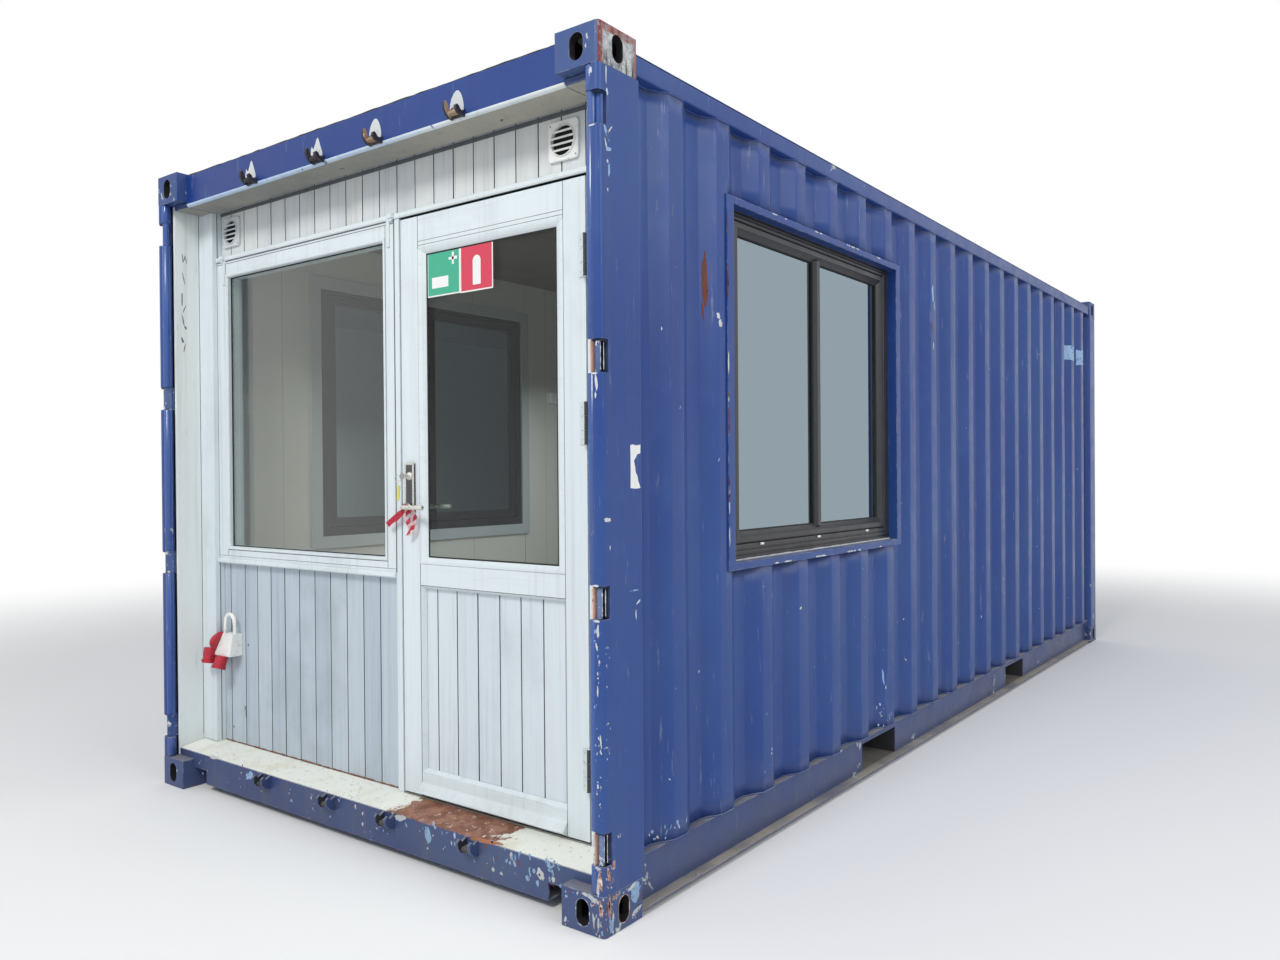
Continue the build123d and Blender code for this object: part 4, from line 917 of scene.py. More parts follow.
def addPatch(bm, place, middle, size, seed, index=0, ragged=0.32, tilt=0, steps=26):
    rings = [[bm.verts.new(place(middle[0], middle[1], 0.45 * mm))]]
    for share in (0.4, 0.75, 1):
        ring = []
        for k in range(steps):
            angle = 2 * math.pi * k / steps
            swing = Vector((math.cos(angle) * 1.6, math.sin(angle) * 1.6, seed * 3.17))
            reach = 1 + ragged * (noise.noise(swing) + 0.6 * noise.noise(swing * 3.1)) * 1.4
            u = size[0] / 2 * share * reach * math.cos(angle)
            v = size[1] / 2 * share * reach * math.sin(angle)
            u, v = u * math.cos(tilt) - v * math.sin(tilt), u * math.sin(tilt) + v * math.cos(tilt)
            out = 0.45 * mm if share < 1 else 0.1 * mm
            ring.append(bm.verts.new(place(middle[0] + u, middle[1] + v, out)))
        rings.append(ring)
    for k in range(steps):
        n = (k + 1) % steps
        bm.faces.new((rings[0][0], rings[1][k], rings[1][n])).material_index = index
        for one, two in zip(rings[1:], rings[2:]):
            bm.faces.new((one[k], two[k], two[n], one[n])).material_index = index


def onSheet(side):
    return lambda u, v, out: Vector((side * (sheetFace(u, v, side) + out + 0.3 * mm), u, v))


def leftWeb(u, v, out):
    # inner face of the left post's channel
    return Vector((webX + out, u, v))


webX = -1.17
postSide, postNose = onSide(cadBox[1].x, 1), onFront(cadBox[0].y)
headerFace, sillFace = onFront(headerLow.y), onFront(sillLow.y)
boardFace = onFront(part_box("front_wall_lower")[0].y)
rightWall = onSheet(1)


# face, then middle and size in mm, finish and tilt of each spot
spots = (
    (postSide, ((-2994, 2448, 6, 50, 0, 0), (-2990, 2398, 10, 18, 0, 0.3), (-2993, 2280, 12, 46, 2, 0.5),
     (-2978, 2292, 5, 34, 0, -0.7), (-2984, 2236, 24, 13, 2, 0.2), (-2996, 2246, 6, 30, 0, 0.3),
     (-2984, 2176, 10, 34, 2, 0), (-2990, 2200, 7, 12, 0, 0), (-2990, 2120, 5, 10, 0, 0),
     (-2992, 1104, 4, 14, 0, 0), (-3003, 1184, 32, 11, 0, 0), (-2880, 972, 40, 4, 2, 0),
     (-2860, 936, 22, 7, 0, 0.5), (-2872, 900, 6, 30, 0, 0), (-3010, 180, 12, 45, 5, 0.3),
     (-2985, 200, 14, 30, 5, -0.3))),
    (postNose, ((1203, 1572, 9, 52, 0, 0.1), (1200, 1536, 6, 18, 0, 0), (1202, 868, 10, 40, 0, 0),
     (1197, 826, 6, 22, 0, 0.2), (1206, 780, 5, 18, 0, 0), (1200, 700, 5, 30, 0, 0),
     (1210, 560, 5, 40, 0, 0.1), (1198, 430, 6, 16, 0, 0), (1206, 160, 12, 55, 5, 0.1),
     (1196, 140, 12, 40, 0, 0), (1196, 2297, 26, 5, 0, 0), (1197, 1598, 20, 6, 0, 0),
     (1198, 898, 24, 7, 0, 0), (1196, 998, 24, 6, 0, 0), (1196, 198, 22, 7, 0, 0),
     (1192, 2452, 10, 20, 0, 0))),
    (rightWall, ((-2446, 1952, 20, 170, 3, 0), (-2452, 1850, 8, 60, 3, 0.1), (-2398, 1836, 14, 22, 0, 0.5),
     (-2388, 1812, 22, 26, 0, -0.4), (-426, 2190, 22, 90, 2, 0.1), (-404, 2130, 10, 40, 2, 0),
     (-440, 2020, 14, 60, 3, 0), (-418, 1930, 8, 40, 0, 0), (-1000, 330, 20, 60, 0, 0.3),
     (-1010, 262, 28, 22, 0, 0), (-1028, 400, 10, 70, 2, 0.2), (-2040, 870, 12, 20, 0, 0.4),
     (-1830, 800, 16, 10, 0, 0.2))),
    (postNose, ((1175, 106, 50, 16, 0, -0.3), (1150, 112, 30, 10, 0, 0), (1196, 40, 7, 40, 0, 0),
     (1178, 46, 6, 44, 0, 0.1), (1205, 85, 14, 50, 5, 0.1))),
    (postSide, ((-3006, 85, 14, 60, 5, 0), (-3000, 30, 20, 40, 2, 0.2), (-2978, 106, 36, 10, 5, 0.2),
     (-2884, 88, 44, 50, 2, 0.3), (-2900, 106, 40, 14, 0, 0.2), (-2990, 52, 10, 30, 0, 0),
     (-2880, 30, 50, 16, 0, 0.3))),
    (leftWeb, ((-2946, 2262, 4, 40, 4, 0.1), (-2938, 2258, 4, 34, 4, -0.3), (-2930, 2252, 4, 26, 4, 0.2),
     (-2942, 2170, 4, 50, 4, 0.2), (-2950, 2080, 5, 60, 4, 0), (-2940, 2040, 4, 40, 4, -0.4),
     (-2946, 1992, 5, 50, 4, 0.2), (-2936, 1960, 8, 18, 4, 0.4), (-2950, 1905, 8, 30, 4, 0.4),
     (-2941, 1872, 4, 40, 4, -0.2))),
    (boardFace, ((-883, 597, 10, 12, 4, 0), (-911, 326, 10, 22, 4, 0), (-907, 300, 4, 40, 4, 0.1),
     (-1000, 232, 9, 12, 4, 0))),
    (sillFace, ((280, 140, 60, 20, 0, 0.2), (-640, 120, 50, 30, 2, 0.4), (700, 150, 140, 14, 1, 0.1),
     (420, 110, 30, 50, 2, 0.2), (-900, 150, 80, 16, 0, 0.1), (930, 100, 26, 36, 0, 0.6))),
)
bm = bmesh.new()
number = 0
for place, rows in spots:
    for u, v, wide, tall, finish, tilt in rows:
        number += 1
        addPatch(bm, place, (u * mm, v * mm), (wide * mm, tall * mm), number, finish, tilt=tilt)
chooser = random.Random(12)
for number in range(110):
    y, z = chooser.uniform(-2.8, 2.8), 0.22 + 2.2 * chooser.random() ** 1.4
    if surroundLow.y - 0.02 < y < surroundHigh.y + 0.02 and surroundLow.z - 0.02 < z < surroundHigh.z + 0.02:
        continue
    size = (chooser.uniform(1.5, 5) * mm, chooser.uniform(3, 16) * mm)
    side = chooser.choice((1, 1, 1, -1))
    finish = chooser.choice((0, 0, 2))
    addPatch(bm, onSheet(side), (y, z), size, 200 + number, finish, tilt=chooser.uniform(-1, 1), steps=8)

# place, middle, spread, count, smallest and largest size, finishes to choose from
wornAreas = (
    (postNose, (1.186, 0.1), (0.03, 0.016), 22, 3, 12, (0, 0, 2, 5)),
    (postNose, (1.192, 0.05), (0.02, 0.044), 22, 3, 13, (0, 0, 2, 3)),
    (postNose, (1.1, 0.1), (0.034, 0.014), 14, 3, 11, (0, 2, 3)),
    (postSide, (-3.008, 0.07), (0.016, 0.045), 26, 3, 13, (5, 5, 0, 3)),
    (postSide, (-2.96, 0.104), (0.05, 0.01), 20, 3, 11, (5, 0, 2)),
    (postSide, (-2.88, 0.06), (0.02, 0.046), 16, 3, 12, (2, 0, 3)),
    (postSide, (-3.004, 0.16), (0.018, 0.04), 16, 3, 12, (5, 5, 0)),
    (postNose, (1.204, 0.16), (0.01, 0.038), 12, 3, 10, (5, 0, 0)),
    (postNose, (1.2, 0.6), (0.012, 0.28), 34, 2, 11, (0, 0, 2)),
    (postSide, (-3.006, 0.64), (0.01, 0.2), 16, 2, 8, (0, 2)),
    (rightWall, (-2.7, 0.208), (0.12, 0.022), 16, 4, 20, (2, 2, 0)),
    (rightWall, (-1.01, 0.23), (0.06, 0.05), 16, 3, 18, (0, 2)),
    (sillFace, (0.85, 0.11), (0.16, 0.05), 44, 4, 24, (0, 2, 2, 3)),
    (sillFace, (0.25, 0.11), (0.4, 0.05), 44, 3, 16, (0, 2, 3)),
    (sillFace, (-0.6, 0.11), (0.4, 0.05), 18, 3, 12, (0, 2, 3)),
)
for place, middle, spread, count, least, most, finishes in wornAreas:
    for number in range(count):
        u = middle[0] + spread[0] * chooser.uniform(-1, 1)
        v = middle[1] + spread[1] * chooser.uniform(-1, 1)
        nearEye = place in (postSide, postNose) and min(abs(u - 1.138), abs(u + 2.94)) < 0.03
        if nearEye and abs(v - 0.058) < 0.046:
            continue
        size = (chooser.uniform(least, most) * 0.6 * mm, chooser.uniform(least, most) * mm)
        finish = chooser.choice(finishes)
        addPatch(bm, place, (u, v), size, 600 + number, finish, 0.45, chooser.uniform(-0.6, 0.6), 12)
finishMesh("worn_spots", bm, "wornPrimer oldRust paleBluePaint rustBrown grooveDark pinkRust", 60)

# two squares of faded paint high up near the far end of the right wall
fadedSquares = {"places": ((2.2, 2.54, 2.094, 2.196, 0.022), (2.558, 2.806, 2.086, 2.2, 0.014)),
                "step": 0.0125}
bm = bmesh.new()
for near, far, foot, head, drop in fadedSquares["places"]:
    count = round((far - near) / fadedSquares["step"])
    rows = []
    for i in range(count + 1):
        y, fall = near + (far - near) * i / count, drop * i / count
        levels = [foot + fall + 8 * mm * noise.noise(Vector((9 * y, 0, 1)))]
        levels += [foot + (head - foot) * share + fall for share in (0.33, 0.67)]
        levels.append(head + fall + 8 * mm * noise.noise(Vector((9 * y, 5, 2))))
        rows.append([bm.verts.new(rightWall(y, level, 0.4 * mm)) for level in levels])
    for one, two in zip(rows, rows[1:]):
        for k in range(3):
            bm.faces.new((one[k], two[k], two[k + 1], one[k + 1]))
finishMesh("faded_squares", bm, "paleBluePaint", 60)

# bare flames of primer behind the header keepers, and what is left of a blank label on the post
flames = {
    "level": 2.514, "squeeze": 0.88,
    "sharp": ((-46, -26), (-43, 0), (-38, 14), (-31, 2), (-26, 2), (-16, 22), (-8, 38), (-3, 44), (3, 36),
              (12, 12), (24, -20), (26, -34), (-10, -36)),
    "round": ((-34, -30), (-33, -8), (-26, 14), (-15, 30), (-4, 39), (8, 37), (18, 24), (26, 4), (31, -22),
              (30, -38), (-8, -36)),
    "label": ((-2894, 1397), (-2885, 1400), (-2866, 1397), (-2845, 1400), (-2846, 1374), (-2862, 1371),
              (-2868, 1362), (-2877, 1352), (-2872, 1335), (-2869, 1318), (-2861, 1308), (-2856, 1290),
              (-2851, 1283), (-2846, 1272), (-2866, 1270), (-2894, 1272), (-2893, 1330))}
bm = bmesh.new()
for x, outline in zip(keepers["header"], ("sharp", "sharp", "round", "round")):
    middle = x - 6 * mm
    corners = [(middle + u * mm, flames["level"] + flames["squeeze"] * v * mm) for u, v in flames[outline]]
    addPrism(bm, corners, headerFace, 0, 0.5 * mm)
    addPatch(bm, headerFace, (middle + 4 * mm, flames["level"] + 8 * mm), (9 * mm, 9 * mm), 700, 1, 0.4)
addPrism(bm, [(u * mm, v * mm) for u, v in flames["label"]], postSide, 0, 0.5 * mm, 2)
finishMesh("bare_flames_and_label", bm, "wornPrimer pinkRust signWhite", 60)

# dirt and rot along the foot of the boards
boardsLow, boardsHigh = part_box("front_wall_lower")
bm = bmesh.new()
footY, footZ = boardsLow.y + 1 * mm, boardsLow.z + 2.5 * mm
line = straightLine((boardsLow.x, footY, footZ), (boardsHigh.x, footY, footZ), 90)
addTube(bm, line, 3.2 * mm, 8, wobble=0.6)
finishMesh("board_foot_dirt", bm, "rustBrown", 60)
# dark strip along the top of the boards, under the header: painted shadow of the header over the head joint
topBoardsLow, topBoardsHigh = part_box("front_wall_top")
bm = bmesh.new()
addBox(bm, (topBoardsLow.x, topBoardsLow.y - 2 * mm, headerFoot - 11 * mm),
       (topBoardsHigh.x, topBoardsLow.y + 1 * mm, headerFoot + 4 * mm), 0.8 * mm)
finishMesh("board_head_joint_shadow", bm, "grooveDark", 60)

# rust that blooms round the eyes of the right castings
eyes = {"width": 0.051, "height": 0.0795, "level": 0.058, "rim": 1.2 * mm, "x": 1.138, "y": -2.94}
bm = bmesh.new()
for place, across in ((postSide, eyes["y"]), (postNose, eyes["x"])):
    half, straight = eyes["width"] / 2, (eyes["height"] - eyes["width"]) / 2
    rim = []
    for k in range(40):
        angle = 2 * math.pi * (k + 0.5) / 40
        rise = straight if math.sin(angle) > 0 else -straight
        rim.append(place(across + half * math.cos(angle), eyes["level"] + rise + half * math.sin(angle), 0))
    addTube(bm, rim, eyes["rim"], 6, 0 if place is postSide else 1, closed=True, wobble=0.5)
finishMesh("casting_eye_rims", bm, "pinkRust wornBlue", 60)
print("worn spots laid")


# Boards of the timber end: grooved planks side by side, on a solid backing

boards = {"groove": 2.4 * mm, "grooveDepth": 6 * mm, "plank": 14 * mm,
          "lower": (-1.014, -0.904, -0.811, -0.712, -0.615, -0.514, -0.41, -0.309, -0.206, -0.105, -0.006,
                    0.093),
          "top": tuple(-0.985 + 0.0995 * i for i in range(21)),
          "door": (0.31, 0.409, 0.511, 0.615, 0.713, 0.813, 0.907)}


def boardWall(name, node, seams, body, seed, finish):
    low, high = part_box(node)
    chooser = random.Random(seed)
    bm = bmesh.new()
    addBox(bm, (low.x, low.y + boards["plank"], low.z), high, index=1)
    for inner in bm.faces:
        if inner.calc_center_median().y > high.y - 1 * mm:
            inner.material_index = 2
    tones = [0.5] * len(bm.faces)
    edges = [low.x] + [x for x in seams if low.x + 10 * mm < x < high.x - 10 * mm] + [high.x]
    groove, depth, back = boards["groove"], boards["grooveDepth"], low.y + boards["plank"]
    for left, right in zip(edges, edges[1:]):
        face = low.y + chooser.uniform(0, 0.9) * mm
        outline = ((left + 0.8 * mm, back), (left + 0.8 * mm, face + depth), (left + groove, face + 1 * mm),
                   (left + 2 * groove, face), (right - 2 * groove, face), (right - groove, face + 1 * mm),
                   (right - 0.8 * mm, face + depth), (right - 0.8 * mm, back))
        faces = addPrism(bm, outline, lambda u, v, out: Vector((u, v, out)), low.z, high.z)
        for number in (0, 1, 5, 6):
            faces[2 + number].material_index = 1
        tones += [chooser.random()] * len(faces)
    piece = finishMesh(name, bm, finish + " grooveDark insideWall", 20, body)
    tone = piece.data.attributes.new("boardTone", "FLOAT", "FACE")
    tone.data.foreach_set("value", tones)
    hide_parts(node)
    return piece


def windowPaint(face):
    return int(not 1.002 < face.calc_center_median().z < 2.18)


boardWall("lower_boards", "front_wall_lower", boards["lower"], "cabin", 3, "lowerBoards")
boardWall("top_boards", "front_wall_top", boards["top"], "cabin", 5, "topBoards")
boardWall("door_boards", "door_panel", boards["door"], "door", 8, "doorBoards")
for node, finishes, body, bevel, paint in (
        ("front_lintel", "joineryLevel", "cabin", 1.5, None),
        ("cover_boards", "joineryUpright", "cabin", 1.5, None),
        ("door_jambs", "joineryUpright", "cabin", 1.5, None),
        ("end_window_frame", "joineryUpright joineryLevel", "cabin", 1, windowPaint),
        ("door_stiles", "joineryUpright", "door", 1.2, None),
        ("door_rails", "joineryLevel", "door", 1.2, None)):
    dressNode(node, finishes, body, bevel=bevel * mm, paint=paint)
useMaterial("threshold", "zincSteel")

# beads, mouldings and joints of the end window and the door
joinery = {
    "face": -2.85, "windowBead": (-0.993, 1.002, 0.066, 2.18), "doorOpening": (0.244, 1, 0.926, 2.115),
    "doorLight": (0.28, 1.024, 0.89, 2.094), "panel": (0.244, 0.259, 0.926, 0.923), "ends": (-1.063, 0.113),
    "mouldings": ((0.941, 0.962, 8 * mm), (2.24, 2.259, 4 * mm)), "brackets": (0.104, -1.014),
    "straps": ((0.086, 2.143, 2.255), (-1.004, 2.136, 2.239)),
    "joints": (
        ("window_joints_and_drip_shadow", "cabin", (
            (-1.063, 0.9735, 0.113, 0.975), (-0.992, 0.999, 0.065, 1.002), (-1.063, 2.2255, 0.113, 2.228),
            # the lines just under the drip moulding, at 2.2345 to 2.2405, are painted shadow of the moulding;
            # over the door they also mark the gap above the leaf
            (0.113, 0.962, 0.1185, 2.24), (-1.063, 2.2385, 1.063, 2.2405), (-1.063, 2.2345, 0.113, 2.2395),
            (-1.064, 0.17, -1.061, 2.473), (0.0655, 0.976, 0.0675, 2.226),
            (-0.995, 0.976, -0.993, 2.226))),
        ("door_joints", "door", (
            (0.243, 0.177, 0.2445, 2.231), (0.926, 0.177, 0.9275, 2.231), (0.245, 2.1405, 0.926, 2.142),
            (0.245, 2.126, 0.926, 2.1275), (0.245, 0.999, 0.926, 1.0005), (0.245, 0.9225, 0.926, 0.924)))),
    "gaskets": (("window_gasket", "cabin", -2.832, (-0.982, 1.013, 0.055, 2.169), (3, 1.5)),
                ("door_gasket", "door", -2.838, (0.278, 1.022, 0.892, 2.096), (2.5, 1.2)))}
front = joinery["face"]
face = onFront(front)
bm = bmesh.new()
addRing(bm, face, joinery["windowBead"], inset(joinery["windowBead"], 13 * mm),
        ((0, -2), (0, 3), (0.25, 5), (0.7, 4), (1, -1), (1, -17)))
for low, high, bulge in joinery["mouldings"]:
    outline = ((front + 20 * mm, low), (front - bulge * 0.3, low), (front - bulge, low + 5 * mm),
               (front - bulge * 0.8, high - 5 * mm), (front - bulge * 0.1, high), (front + 20 * mm, high))
    edge = joinery["ends"][0]
    addPrism(bm, outline, alongX, edge, joinery["ends"][1] if low < 1 else -edge)
for x in joinery["brackets"]:
    addBox(bm, (x - 16 * mm, front - 14 * mm, 2.241), (x + 16 * mm, front, 2.262), 4 * mm)
    addBox(bm, (x - 8 * mm, front - 10 * mm, 2.233), (x + 10 * mm, front, 2.246), 2 * mm)
for x, low, high in joinery["straps"]:
    addBox(bm, (x - 9 * mm, front - 5 * mm, low), (x + 9 * mm, front + 5 * mm, high), 1.5 * mm)
finishMesh("window_beads", bm, "joineryLevel", 25)
bm = bmesh.new()
addRing(bm, face, joinery["doorOpening"], joinery["doorLight"],
        ((0, -11.5), (0, 0.5), (0.15, 1.5), (0.45, -1), (0.9, -8), (1, -11.5)))
addRing(bm, face, joinery["panel"], inset(joinery["panel"], 12 * mm),
        ((0, -19), (0, -1), (0.3, -2), (0.8, -14), (1, -19)))
finishMesh("door_beads", bm, "joineryLevel", 25, "door")
for name, body, lines in joinery["joints"]:
    # dark joints between two members, and painted shadow under the drip moulding, a hair proud of the joinery
    bm = bmesh.new()
    for u0, v0, u1, v1 in lines:
        addBox(bm, (u0, front - 0.5 * mm, v0), (u1, front + 2 * mm, v1))
    finishMesh(name, bm, "grooveDark", body=body)
for name, body, glassFront, outer, (tall, low) in joinery["gaskets"]:
    # rubber along the glass, seen as a dark line
    bm = bmesh.new()
    addRing(bm, onFront(glassFront), outer, inset(outer, 6 * mm), ((0, 0), (0, tall), (1, low), (1, 0)))
    finishMesh(name, bm, "blackRubber", body=body)
print("timber end built")


# Side windows: outer frame, sashes, mullion, rubber and weep covers, the same on both sides

sideWindow = {"face": 1.176, "outer": (-2.321, 0.992, -0.885, 2.243), "gap": (-2.241, 1.062, -0.946, 2.197),
              "light": (-2.195, 1.107, -0.988, 2.153), "mullion": -1.583, "mullionHalf": 0.0225,
              "weeps": (-2.06, -1.605, -1.143), "weepLevel": 1.058}


def buildSideWindow(side, name):
    size = sideWindow
    place = onSide(size["face"], side)
    bm = bmesh.new()
    addRing(bm, place, size["outer"], size["gap"],
            ((0, -66), (0, 1), (0.04, 2), (0.2, 2), (0.22, -3), (0.27, -3),
             (0.29, 2), (0.45, 2), (0.47, -4), (0.53, -4), (0.55, 1), (0.7, 1),
             (0.72, -4), (0.77, -4), (0.79, 0), (0.95, 0), (1, -2), (1, -66)))
    addRing(bm, place, inset(size["gap"], 4 * mm), size["light"],
            ((0, -60), (0, -1), (0.1, 1), (0.52, 1), (0.58, -2), (0.92, -15),
             (1, -17), (1, -60)))
    middle, half = size["mullion"], size["mullionHalf"]
    outline = ((middle - half, -55 * mm), (middle - half, -16 * mm), (middle - half * 0.55, -4 * mm),
               (middle + half * 0.55, -4 * mm), (middle + half, -16 * mm), (middle + half, -55 * mm))
    low, high = size["light"][1] - 6 * mm, size["light"][3] + 6 * mm
    addPrism(bm, outline, lambda u, v, out: Vector((side * (size["face"] + v), u, out)), low, high)
    addRing(bm, place, inset(size["gap"], -3 * mm), inset(size["gap"], 8 * mm),
            ((0, -30), (0, -9), (1, -9), (1, -30)), 1)
    for start, end in ((size["light"][0], middle - half), (middle + half, size["light"][2])):
        pane = (start - 1 * mm, size["light"][1] - 1 * mm, end + 1 * mm, size["light"][3] + 1 * mm)
        addRing(bm, place, pane, inset(pane, 5 * mm),
                ((0, -26), (0, -17), (0.5, -16), (1, -19), (1, -26)), 1)
    for y in size["weeps"]:
        addBox(bm, (side * (size["face"] + 1 * mm), y - 12 * mm, size["weepLevel"] - 4 * mm),
               (side * (size["face"] + 6 * mm), y + 12 * mm, size["weepLevel"] + 4 * mm), 1.2 * mm, 2)
    piece = finishMesh(name, bm, "anthracite blackRubber whitePlastic", 20)
    return piece


rightWindow = buildSideWindow(1, "side_window_right")
buildSideWindow(-1, "side_window_left")
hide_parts("window_frames")
for node, look in (("window_glass", "sidePane"), ("end_window_glass", "clearPane"),
                   ("door_glass", "doorPane")):
    useMaterial(node, look)

# edges of the steel surrounds: rust and lost paint outside, pale mastic along the bottom
bm = bmesh.new()
surroundFace = onSide(surroundHigh.x, 1)
chooser = random.Random(4)
for number in range(16):
    z = chooser.uniform(1, 2.2)
    size = (7 * mm, chooser.uniform(20, 90) * mm)
    addPatch(bm, surroundFace, (surroundLow.y + 4 * mm, z), size, 400 + number, chooser.choice((0, 0, 1)))
for number in range(9):
    y = chooser.uniform(-2.3, -0.9)
    for z, least, most, tall, seed in ((surroundLow.z + 4 * mm, 14, 60, 6, 440),
                                       (surroundHigh.z - 4 * mm, 10, 40, 5, 460)):
        addPatch(bm, surroundFace, (y, z), (chooser.uniform(least, most) * mm, tall * mm), seed + number, 1)
finishMesh("surround_spots", bm, "rustBrown wornPrimer", 60)
bm = bmesh.new()
for side in (-1, 1):
    line = straightLine((side * 1.181, -2.303, 1.01), (side * 1.181, -0.903, 1.01), 60)
    for i, point in enumerate(line):
        point.x += side * 0.5 * mm * math.sin(i * 1.7)
    addTube(bm, line, 3.5 * mm, 8, wobble=0.3)
finishMesh("surround_mastic", bm, "wornPrimer", 60)
print("side windows built")

# Inside: linings, ceiling, floor and the small socket box seen through the door
for node, look in (("window_trims", "insideTrim"), ("wall_linings", "insideWall"),
                   ("ceiling", "insideCeiling"), ("floor", "floorWood")):
    useMaterial(node, look)
bm = bmesh.new()
addBox(bm, (-1.108, -0.685, 1.745), (-1.07, -0.598, 1.812), 4 * mm, segments=3)
addRing(bm, lambda u, v, out: Vector((-1.07 + out, u, v)), (-0.677, 1.753, -0.606, 1.804),
        (-0.669, 1.761, -0.614, 1.796), ((0, -2), (0, 2), (1, 2), (1, -2)))
finishMesh("inside_socket_box", bm, "whitePlastic")
print("inside finished")


# Hinges of the door, with countersunk screws

# faces turned towards the post (+x) get painted shade
def hingePaint(face):
    return int(face.normal.x > 0.35)


for node, name, body in (("hinge_jamb_leaves", "hinge_jamb_dressed", "cabin"),
                         ("hinge_door_leaves", "hinge_door_dressed", "door")):
    dressNode(node, "paintedOver hingeDirt", body, name, bevel=0.7 * mm, paint=hingePaint)
hinges = {"levels": (0.402, 1.47, 1.986), "pinX": 1.0205, "leafFace": -2.853, "screwAway": 0.0155,
          "screwRises": (-0.05, -0.022, 0.022, 0.05)}
screwHead = ((0, 0.2), (1, 0.2), (3.4, 0.9), (4.2, 0.6), (4.2, -1), (0, -1))
for name, body, way in (("hinge_jamb_screws", "cabin", 1), ("hinge_door_screws", "door", -1)):
    bm = bmesh.new()
    for level in hinges["levels"]:
        for rise in hinges["screwRises"]:
            place = (hinges["pinX"] + way * hinges["screwAway"], hinges["leafFace"], level + rise)
            addTurned(bm, screwHead, place, (0, -1, 0), 16)
            # dark bar across each head: painted shade of the slot
            addBox(bm, (place[0] - 3 * mm, place[1] - 0.75 * mm, place[2] - 0.5 * mm),
                   (place[0] + 3 * mm, place[1] - 0.15 * mm, place[2] + 0.5 * mm), index=1)
    finishMesh(name, bm, "zincSteel darkHollow", 40, body)


# Lock: plates with a raised rim, cylinder with key and tag, bent lever

lock = {"plate": (0.173, 1.18, 0.223, 1.358), "rim": 8 * mm, "front": -2.858, "back": -2.798,
        "cylinder": (0.204, 1.311), "lever": (0.198, 1.201), "leverTip": 0.311, "reachFront": -2.898,
        "reachBack": -2.758, "leverRadius": 8 * mm}
dressNode("lock_plates", "greySteel", body="door", bevel=0.8 * mm)
rimProfile = ((0, -3), (0, 2), (0.2, 3.2), (0.75, 3.2), (1, 0.5), (1, -3))
bm = bmesh.new()
for place in (onFront(lock["front"]), lambda u, v, out: Vector((u, lock["back"] + out, v))):
    addRing(bm, place, lock["plate"], inset(lock["plate"], lock["rim"]), rimProfile)
cylinderX, cylinderZ = lock["cylinder"]
rosette = ((0, 0), (15.5, 0), (15.5, 4), (14, 7.5), (11, 10), (9, 10.5), (9, 12.5), (8, 13.5), (0, 13.5))
addTurned(bm, rosette, (cylinderX, lock["front"], cylinderZ), (0, -1, 0), 36)
addBox(bm, (cylinderX - 1.1 * mm, lock["front"] - 30 * mm, cylinderZ - 4 * mm),
       (cylinderX + 1.1 * mm, lock["front"] - 13 * mm, cylinderZ + 4 * mm), 0.4 * mm)
bow = [(math.cos(t) * 11, math.sin(t) * 12) for t in roundAngles(20)]
addPrism(bm, [(u * mm, v * mm) for u, v in bow],
         lambda u, v, out: Vector((out, lock["front"] - 38 * mm + u, cylinderZ + v)),
         cylinderX - 1.2 * mm, cylinderX + 1.2 * mm)
for x, z in ((0.198, 1.349), (0.198, 1.189)):
    addTurned(bm, screwHead, (x, lock["front"], z), (0, -1, 0), 16, wide=0.8)
for front, way in ((lock["front"], -1), (lock["back"], 1)):
    u0, v0, u1, v1 = inset(lock["plate"], lock["rim"] - 1 * mm)
    addBox(bm, (u0, front - way * 1 * mm, v0), (u1, front + way * 0.8 * mm, v1), 0.3 * mm, 1)
finishMesh("lock_rims_and_cylinder", bm, "brightSteel greySteel", 35, "door")

bm = bmesh.new()
ringMiddle = Vector((cylinderX - 15 * mm, lock["front"] - 44 * mm, cylinderZ - 8 * mm))
loop = [ringMiddle + Vector((math.cos(t) * 17, math.sin(t) * 3, math.sin(t) * 12)) * mm
        for t in roundAngles(28)]
addTube(bm, loop, 1 * mm, 8, closed=True)
wire = [ringMiddle + Vector((-8, 0, -10)) * mm, ringMiddle + Vector((-8, 3, -18)) * mm,
        ringMiddle + Vector((-5, 8, -27)) * mm]
addTube(bm, wire, 0.8 * mm, 8)
finishMesh("key_ring", bm, "brightSteel", 50, "door")
bm = bmesh.new()
tag = [(-7, 2), (-5, 5), (5, 5), (7, 2), (7, -44), (4.5, -48), (-4.5, -48), (-7, -44)]
tagPlace = ringMiddle + Vector((-5, 8, -30)) * mm
addPrism(bm, [(u * mm, v * mm) for u, v in tag],
         lambda u, v, out: tagPlace + Vector((u, out + 0.1 * v, v)), -1.2 * mm, 1.2 * mm)
bmesh.ops.bevel(bm, geom=list(bm.edges), offset=0.4 * mm, segments=2, affect="EDGES", material=-1)
finishMesh("key_tag", bm, "tagYellow", 35, "door")

leverX, leverZ = lock["lever"]
bend = 15 * mm
path = [(lock["leverTip"], lock["reachFront"], leverZ), (leverX + bend * 2, lock["reachFront"], leverZ)]
quarter = [math.pi / 2 * step / 9 for step in range(10)]
middleX = leverX + bend
frontY, backY = lock["reachFront"] + bend, lock["reachBack"] - bend
path += [(middleX - bend * math.sin(t), frontY - bend * math.cos(t), leverZ) for t in quarter]
path += [(middleX - bend * math.cos(t), backY + bend * math.sin(t), leverZ) for t in quarter]
path.append((lock["leverTip"], lock["reachBack"], leverZ))
radii = [lock["leverRadius"]] * len(path)
path.insert(0, (path[0][0] + 2 * mm, path[0][1], leverZ))
radii.insert(0, lock["leverRadius"] * 0.75)
path.append((path[-1][0] + 2 * mm, path[-1][1], leverZ))
radii.append(lock["leverRadius"] * 0.75)
bm = bmesh.new()
